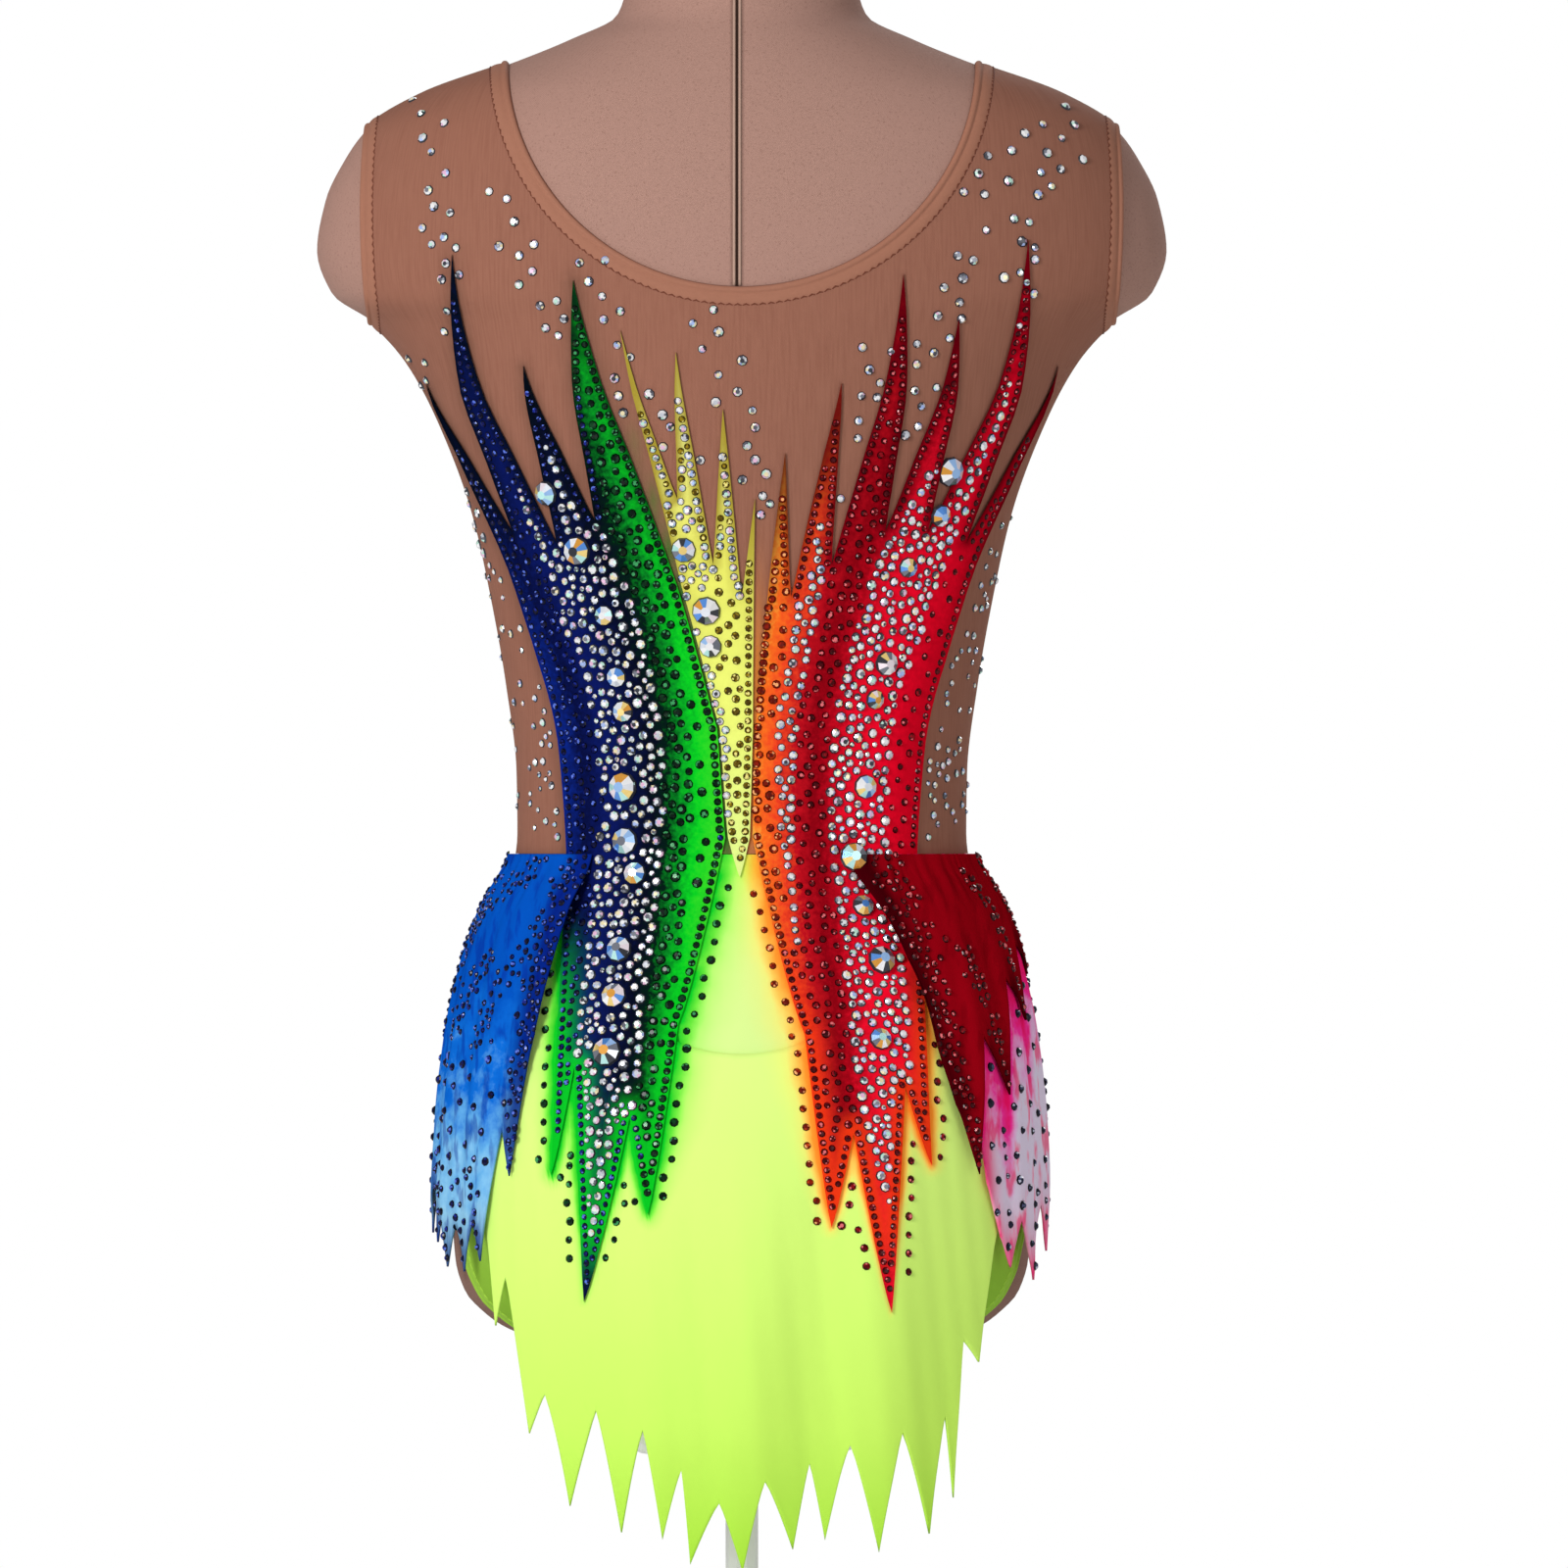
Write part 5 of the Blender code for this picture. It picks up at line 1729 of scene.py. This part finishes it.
def set_places(setter, row, places, depths):
    """Stones of a row's kind at places that lie deep enough inside their panel."""
    for (x, z), depth in zip(places, depths):
        size = random.uniform(row.smallest, row.largest)
        if depth < size / 2 - EDGE_OVERHANG or depth < EDGE_MARGIN:
            continue
        found = setter.hit_behind(x, z)
        if found and found[2].startswith("flames"):
            setter.put(row.group, found, size, row.spacing)


def set_zones(setter):
    """Bands packed with crystals, which narrow towards both ends."""
    for zone in ZONES:
        heights = random_values(zone.tries, zone.low, zone.high)
        narrow = smoothstep((heights - zone.low) / ZONE_LOW_TAPER)
        narrow = narrow * smoothstep((zone.high - heights) / ZONE_HIGH_TAPER)
        offsets = random_values(zone.tries, -1, 1) * zone.spread * np.maximum(ZONE_NARROWEST, narrow)
        places, depths = spread_over(zone.panel, zone.lane + offsets, heights)
        set_places(setter, zone, places, depths)


def set_fills(setter):
    """Coloured stones over the rest of the flames."""
    for fill in FILLS:
        heights = random_values(fill.tries, fill.low, fill.high)
        lanes = random_values(fill.tries, fill.lane_from, fill.lane_to)
        places, depths = spread_over(fill.panel, lanes, heights)
        set_places(setter, fill, places, depths)


def edge_places(row):
    """Places (x, z) at even steps along a panel's edge, at the row's depth inside it or outside it."""
    outline = OUTLINES[row.panel]
    line = np.array([(x, 0.0, z) for x, z in outline + outline[:1]])
    spots, ahead = resampled(line, EDGE_STEP if row.depth > 0 else 2 * EDGE_STEP)
    inward = np.stack([-ahead[:, 2], ahead[:, 0]], axis=1)
    if np.mean(signed_distance(spots[:, [0, 2]] + inward * EDGE_PROBE, outline) < 0) < 0.5:
        inward = -inward
    places = spots[:, [0, 2]] + inward * row.depth
    depths = -signed_distance(places, outline)
    if row.depth > 0:
        chosen = depths > min(EDGE_NEAREST, row.depth - EDGE_OVERHANG)
    else:
        chosen = depths < row.depth + EDGE_SLACK
    chosen &= (lane_of(places[:, 0], places[:, 1]) < row.lane_below) & (places[:, 0] * row.side >= 0)
    chosen &= (places[:, 1] > row.low) & (places[:, 1] < row.high)
    return places[chosen]


def set_edges(setter):
    """Rows of small stones just inside each flame's edge, and looser ones beside the lower flames."""
    for row in EDGE_ROWS:
        wander = 0.0 if row.depth > 0 else EDGE_WANDER
        wanted = ("flames",) if row.depth > 0 else ("tail", "brief")
        for x, z in edge_places(row):
            found = setter.hit_behind(x + random.uniform(-wander, wander), z)
            if found and found[2].startswith(wanted):
                setter.put(row.group, found, random.uniform(row.smallest, row.largest), EDGE_SPACING)


def set_trails(setter):
    """Single crystals scattered on the mesh above the flames."""
    for trail in TRAILS:
        for _ in range(trail.count * 2):
            share = random.random()
            wander = random.gauss(0, trail.wide * 0.5)
            x = trail.x_from + (trail.x_to - trail.x_from) * share
            x += trail.bow * math.sin(math.pi * share) + wander
            z = trail.z_from + (trail.z_to - trail.z_from) * share
            z += random.uniform(-TRAIL_WANDER, TRAIL_WANDER)
            found = setter.hit_behind(x, z)
            if found and found[2] == "bodice_back_cloth":
                setter.put("crystals", found, random.uniform(*TRAIL_SIZES), TRAIL_SPACING + (1 - share))


def set_waist_patches(setter):
    """Small crystals on the mesh beside the waist, fewer away from the flames and higher up."""
    for side, outline in ((-1, COOL_OUTLINE), (1, WARM_OUTLINE)):
        for _ in range(PATCH_TRIES):
            angle = math.radians(random.uniform(*PATCH_DEGREES)) * side
            z = random.uniform(PATCH_LOW_Z, PATCH_HIGH_Z)
            ahead = (-math.sin(angle), math.cos(angle), 0)
            found = setter.hit((RAY_START * math.sin(angle), -RAY_START * math.cos(angle), z), ahead)
            if not found or found[2] != "bodice_back_cloth":
                continue
            away = float(signed_distance(np.array([[found[0].x, found[0].z]]), outline)[0])
            likely = math.exp(-away / PATCH_REACH) * (PATCH_LIKELY - (z - PATCH_LOW_Z) / PATCH_FADE)
            if away > PATCH_MARGIN and random.random() < likely:
                setter.put("crystals", found, random.uniform(*PATCH_SIZES), PATCH_SPACING)


def drape_hit(setter, drape, degrees, z):
    """The place on the outermost cloth at an angle and a height, if that is the named drape."""
    angle = math.radians(degrees) * drape.side
    level = max(z, HIP_Z)
    inside, outside = [Vector(ring_points(angle, z, lift, level).tolist()) for lift in (0.0, DRAPE_RAY_LIFT)]
    found = setter.hit(outside, (inside - outside).normalized())
    return found if found and found[2] == drape.name + "_cloth" else None


def cut_points(drape):
    """The lowest points of a drape's hem that carry stones, from its back edge on."""
    hem = [point for point in drape.hem if point.degrees < DRAPE_STONES_TO]
    found = []
    for before, here, after in zip(hem, hem[1:], hem[2:]):
        if here.height < min(before.height, after.height):
            found.append(here)
    return found


def set_drapes(setter):
    """Stones on the hip drapes: packed rows down the back edge and to each point, and single ones below."""
    for row in DRAPE_STONES:
        drape = DRAPES[row.drape]
        for number, tip in enumerate(cut_points(drape)):
            rise = DRAPE_TOP_Z - tip.height if number == 0 else row.rise
            density = row.tip_density if number else row.edge_density
            for _ in range(int(density * rise / DENSITY_LENGTH)):
                share = random.random()
                degrees = tip.degrees - (row.lean if number else drape.lean + EDGE_ROW_LEAN) * share
                degrees += random.gauss(0, row.wide if number else row.edge_wide) * (0.25 + share)
                found = drape_hit(setter, drape, degrees, tip.height + TIP_GAP + rise * share)
                if found:
                    setter.put(row.group, found, random.uniform(*DRAPE_ROW_SIZES), DRAPE_ROW_SPACING)
        for _ in range(row.singles):
            degrees = random.uniform(DRAPE_STONES_FROM, DRAPE_STONES_TO)
            z = random.uniform(DRAPE_STONES_LOW_Z, row.singles_below)
            found = drape_hit(setter, drape, degrees, z)
            if found:
                setter.put(row.group, found, random.uniform(*DRAPE_SINGLE_SIZES), DRAPE_SINGLE_SPACING)


def set_swirls(setter):
    """Curved streaks of packed small stones over the outer half of the blue drape."""
    for row in SWIRLS:
        for _ in range(row.tries):
            share = random.random()
            degrees = row.from_degrees + (row.to_degrees - row.from_degrees) * share
            degrees += random.gauss(0, row.wide)
            z = row.from_z + (row.to_z - row.from_z) * share**SWIRL_EASE + random.gauss(0, SWIRL_WANDER)
            found = drape_hit(setter, DRAPES[0], degrees, z)
            if found:
                setter.put("stones_navy", found, random.uniform(*SWIRL_SIZES), SWIRL_SPACING)


def make_stones(carriers):
    """All stones, one piece for each kind and colour."""
    tree, owners = carrier(carriers)
    setter = Setter(tree, owners)
    set_large(setter)
    set_edges(setter)
    set_zones(setter)
    set_fills(setter)
    set_trails(setter)
    set_waist_patches(setter)
    set_drapes(setter)
    set_swirls(setter)
    clear = stone_look("look_clear_stones", 0.30, 0.7)
    dyed = stone_look("look_dyed_stones", 0.0, 0.16)
    for name, stones in setter.groups.items():
        places = [np.array(place) for place, _, _ in stones]
        normals = [normal for _, normal, _ in stones]
        diameters = [diameter for _, _, diameter in stones]
        cut = LARGE_CUT if name == "crystals_large" else SMALL_CUT
        look = clear if name.startswith("crystals") else dyed
        add_piece(name, stone_group(name, places, normals, diameters, cut), look)


# The garment on its form


def make_bodice(figure, mesh, lime):
    """The mesh back and the lime front."""
    upper = (figure[0][:, 2] > WAIST_Z - CROP_MARGIN) & (figure[0][:, 2] < BODICE_CROP_Z)
    back = cropped(figure, lambda p: upper & (p[:, 1] < HALF_OVERLAP))
    front = cropped(figure, lambda p: upper & (p[:, 1] > -HALF_OVERLAP))
    outline = prism("back_cut", bodice_outline(NECK_DROP_BACK), -FAR, -HALF_SEAM)
    bodice_back = cut_piece("bodice_back_cloth", back, BODICE_LIFT, CLOTH, [("INTERSECT", outline)], mesh)
    outline = prism("front_cut", bodice_outline(NECK_DROP_FRONT), HALF_SEAM, FAR)
    bodice_front = cut_piece("bodice_front_cloth", front, BODICE_LIFT, CLOTH, [("INTERSECT", outline)], lime)
    return bodice_back, bodice_front


def make_briefs(figure, lime):
    """The brief's back and front halves, which meet at the sides and the crotch."""
    lower = figure[0][:, 2] < WAIST_Z + CROP_MARGIN
    halves = [
        ("brief_back_cloth", cropped(figure, lambda p: lower & (p[:, 1] < HALF_OVERLAP)), -FAR, -HALF_SEAM),
        ("brief_front_cloth", cropped(figure, lambda p: lower & (p[:, 1] > -HALF_OVERLAP)), HALF_SEAM, FAR),
    ]
    top = WAIST_Z - HALF_SEAM
    below = [(-FAR, 0.0), (FAR, 0.0), (FAR, top), (-FAR, top)]
    briefs = []
    for name, sheet, y_from, y_to in halves:
        cuts = [("INTERSECT", prism("below_waist", below, y_from, y_to))]
        cuts += [("DIFFERENCE", leg_plug(side, LEG_BINDING_WIDTH * COVERED_SHARE)) for side in (-1, 1)]
        briefs.append(cut_piece(name, sheet, BODICE_LIFT, CLOTH, cuts, lime))
    return briefs


def make_bindings(figure):
    """The five bindings, each with its stitches."""
    nude = binding_look("look_nude_binding", paint(164, 112, 91))
    # The lime binding is darker than the lime cloth: painted shade, as low on the brief
    lime = binding_look("look_lime_binding", paint(150, 196, 66), 0.25)
    nude_thread = binding_look("look_nude_thread", paint(112, 64, 50))
    lime_thread = binding_look("look_lime_thread", paint(170, 214, 74))
    tree = BVHTree.FromPolygons([tuple(p) for p in figure[0]], figure[1])
    loops = {
        "neck_binding": (neck_loop, NECK_BINDING_WIDTH),
        "arm_binding_left": (lambda grow: arm_loop(-1, grow), ARM_BINDING_WIDTH),
        "arm_binding_right": (lambda grow: arm_loop(1, grow), ARM_BINDING_WIDTH),
    }
    bands = {}
    for name, (loop, width) in loops.items():
        bands[name] = loop_band(name + "_cloth", loop, width, nude)
        lines = [band_line(loop, share, width) for share in STITCH_SHARES]
        make_stitches(name + "_stitches", *lines, nude_thread, "nude_mesh")
    for name, side in (("leg_binding_left", -1), ("leg_binding_right", 1)):
        bands[name] = leg_band(name + "_cloth", side, tree, lime)
        lines = []
        for share in STITCH_SHARES:
            spots, normals = leg_rays(side, LEG_BINDING_WIDTH * share, tree)
            line = spots + normals * (BODICE_LIFT + BINDING_HEIGHT * float(binding_rise(share)))
            lines.append(np.concatenate([line, line[:1]]))
        make_stitches(name + "_stitches", *lines, lime_thread, "lime_cloth")
    for name, band in bands.items():
        add_cloth_values(band)
        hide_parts(name)
    return bands


def make_flames(figure, tail_base):
    """The flame panels on the bodice, and the two that run on over the tail."""
    cool = flame_look("look_cool_cloth", COOL_STOPS, paint(6, 12, 18), paint(10, 200, 34))
    warm = flame_look("look_warm_cloth", WARM_STOPS, paint(84, 0, 12), paint(250, 60, 20))
    parts = [
        (COOL_OUTLINE, cool, "cool_cloth"),
        (YELLOW_OUTLINE, yellow_look(), "yellow_cloth"),
        (WARM_OUTLINE, warm, "warm_cloth"),
    ]
    in_reach = (figure[0][:, 2] > FLAME_REACH[0].height) & (figure[0][:, 2] < FLAME_REACH[-1].height)
    base = cropped(figure, lambda p: in_reach & (p[:, 1] < FLAME_OVERLAP))
    lapped = lapped_tail_sheet(tail_base)
    flames = []
    for panel, (outline, look, slot) in zip(FLAME_PANELS, parts):
        cuts = [("INTERSECT", prism("flame", outline, -FAR, 0))]
        if panel.on_tail:
            below = below_seam_outline(LAP + LAP_CLEARANCE)
            cuts.append(("DIFFERENCE", prism("tail_seam", below, -FAR, FAR)))
        item = cut_piece(panel.name + "_cloth", base, FLAME_LIFT, CLOTH, cuts, look)
        flames.append((item, panel.name, slot, outline))
        if panel.on_tail:
            cuts = [("INTERSECT", prism("flame", outline, -FAR, 0))]
            name = panel.name.replace("back", "tail")
            item = cut_piece(name + "_cloth", lapped, 0.0, CLOTH, cuts, look)
            flames.append((item, name, slot, outline))
    for item, _, _, outline in flames:
        add_flame_values(item, outline)
    return flames


def hem_at(drape, degrees):
    """Height of a drape's hem at angles in degrees."""
    across, height = fine_edge(drape.hem, HEM_STEPS, HEM_TAPER)
    return np.interp(degrees, across, height)


def add_drape_values(item, drape, cover=None):
    """How far the cloth has fallen below its top or the drape over it, and how near it is to a dark edge."""
    points = add_cloth_values(item)
    degrees = np.degrees(ring_angle(points)) * drape.side
    top = DRAPE_TOP_Z if cover is None else hem_at(cover, degrees)
    lowest = np.min([hem_at(drape, degrees + turn) for turn in POINT_TURNS], axis=0)
    length = FALL_LENGTH if cover is None else COVERED_FALL_LENGTH
    set_value(item.data, "fall", (top - points[:, 2]) / length)
    points_shade = DRAPE_SHADE * np.exp(-((np.maximum(0, points[:, 2] - lowest) / POINT_SHADE) ** 2))
    tip = drape.hem[1]
    rise = np.clip((points[:, 2] - tip.height) / (DRAPE_TOP_Z - tip.height), 0, 1)
    aside = np.maximum(0, degrees - tip.degrees + (drape.lean + EDGE_ROW_LEAN) * rise)
    edge_shade = DRAPE_SHADE * np.exp(-((aside / EDGE_SHADE_DEGREES) ** 2))
    set_value(item.data, "shade", np.maximum(points_shade, edge_shade))


def make_drapes():
    """The hip drapes, the right one under its overlay."""
    left, right, overlay = DRAPES
    blue = drape_look("look_blue_cloth", BLUE_STOPS, paint(8, 20, 116), paint(8, 40, 150), 0.55)
    pink = drape_look("look_pink_cloth", PINK_STOPS, paint(246, 34, 118), paint(246, 28, 108), 0.7)
    dark_red = drape_look("look_dark_red_cloth", DARK_RED_STOPS, paint(34, 0, 6), paint(112, 1, 12), 0.4)
    rows = [
        (left, None, blue, "blue_cloth"),
        (right, overlay, pink, "pink_cloth"),
        (overlay, None, dark_red, "dark_red_cloth"),
    ]
    drapes = []
    for drape, cover, look, slot in rows:
        name = drape.name + "_cloth"
        item = add_piece(name, mesh_of(name, *wall(drape_sheet(drape), 0.0, CLOTH)), look)
        add_drape_values(item, drape, cover)
        drapes.append((item, drape.name, slot))
    return drapes


def set_camera():
    scene = bpy.context.scene
    scene.view_settings.view_transform = "Standard"
    data = bpy.data.cameras.new("camera")
    data.sensor_width = SENSOR_WIDTH
    data.lens = SENSOR_WIDTH * CAMERA_DISTANCE / FRAME_WIDTH
    camera = linked("camera", data)
    camera.location = (FRAME_CENTRE_X, -CAMERA_DISTANCE, FRAME_CENTRE_Z)
    camera.rotation_euler = (math.pi / 2, 0, 0)
    scene.camera = camera


def set_lights():
    """White all round, dimmer on the object than in the camera's view, and three soft lamps."""
    world = bpy.data.worlds.new("world")
    world.use_nodes = True
    tree = world.node_tree
    seen = add_node(tree, "LightPath").outputs["Is Camera Ray"]
    strength = calc(tree, "ADD", calc(tree, "MULTIPLY", seen, 1.0 - WORLD_STRENGTH), WORLD_STRENGTH)
    tree.nodes["Background"].inputs["Color"].default_value = (1, 1, 1, 1)
    tree.links.new(strength, tree.nodes["Background"].inputs["Strength"])
    bpy.context.scene.world = world
    for name, place, target, size, power in LIGHTS:
        lamp = bpy.data.lights.new(name, "AREA")
        lamp.shape = "DISK"
        lamp.size = size
        lamp.energy = power
        item = linked(name, lamp)
        item.location = place
        item.rotation_euler = (Vector(place) - Vector(target)).to_track_quat("Z", "Y").to_euler()


def make_stage():
    """A pale round floor, on a white ground."""
    turns = [2 * math.pi * i / FLOOR_SIDES for i in range(FLOOR_SIDES)]
    rim = [(FLOOR_RADIUS * math.cos(turn), FLOOR_RADIUS * math.sin(turn), 0.0) for turn in turns]
    mesh = mesh_of("floor", rim, [tuple(range(FLOOR_SIDES))])
    look, tree, shader = new_look("look_floor", 0.9)
    tree.links.new(mottled(tree, paint(250, 250, 250), 0.03, 0.4), shader.inputs["Base Color"])
    mesh.materials.append(look)
    linked("floor", mesh)


def declare_cloth(low_shade, tail, flames, drapes):
    """Hides the model's solid that each cloth piece stands for."""
    cloths = [(item, name, slot, "form_cover") for item, name, slot in low_shade]
    cloths.append((tail, "tail", "lime_cloth", "brief_back_cloth"))
    for item, name, slot, _ in flames:
        cloths.append((item, name, slot, "tail_cloth" if name.endswith("tail") else "bodice_back_cloth"))
    for item, name, slot in drapes:
        cloths.append((item, name, slot, "brief_back_cloth"))
    for item, name, slot, below in cloths:
        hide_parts(name)


COOL_OUTLINE, YELLOW_OUTLINE, WARM_OUTLINE = [flame_outline(panel) for panel in FLAME_PANELS]
OUTLINES = {"cool": COOL_OUTLINE, "yellow": YELLOW_OUTLINE, "warm": WARM_OUTLINE}


def main():
    set_camera()
    set_lights()
    make_stage()
    points, faces = figure_sheet()
    figure = (points, faces, point_normals(points, faces))
    make_form(form_look())
    make_piping(piping_look())
    mesh, lime = mesh_look(), lime_look("look_lime_body", BODY_STOPS)
    bodice_back, bodice_front = make_bodice(figure, mesh, lime)
    brief_back, brief_front = make_briefs(figure, lime)
    bands = make_bindings(figure)
    tail_base = tail_sheet()
    tail_mesh = mesh_of("tail_cloth", *wall(tail_base, 0.0, CLOTH))
    tail = add_piece("tail_cloth", tail_mesh, lime_look("look_lime_tail", TAIL_STOPS))
    flames = make_flames(figure, tail_base)
    drapes = make_drapes()
    for item in (bodice_front, brief_front):
        add_halos(item, 0.0, CARRIER_HALO_REACH)
    for item in (brief_back, tail):
        add_halos(item, CARRIER_HALO, CARRIER_HALO_REACH)
    # Painted shadow on the mesh beside the flames
    add_halos(bodice_back, MESH_SHADOW, MESH_SHADOW_REACH)
    add_joints(bodice_back)
    make_stones([bodice_back, brief_back, tail] + [row[0] for row in flames + drapes])
    paint_look = stand_look()
    for name in ("stand_base", "stand_post"):
        bpy.data.objects[name].material_slots[0].material = paint_look
    low_shade = [
        (bodice_back, "bodice_back", "nude_mesh"),
        (bodice_front, "bodice_front", "lime_cloth"),
        (brief_back, "brief_back", "lime_cloth"),
        (brief_front, "brief_front", "lime_cloth"),
    ]
    declare_cloth(low_shade, tail, flames, drapes)


main()
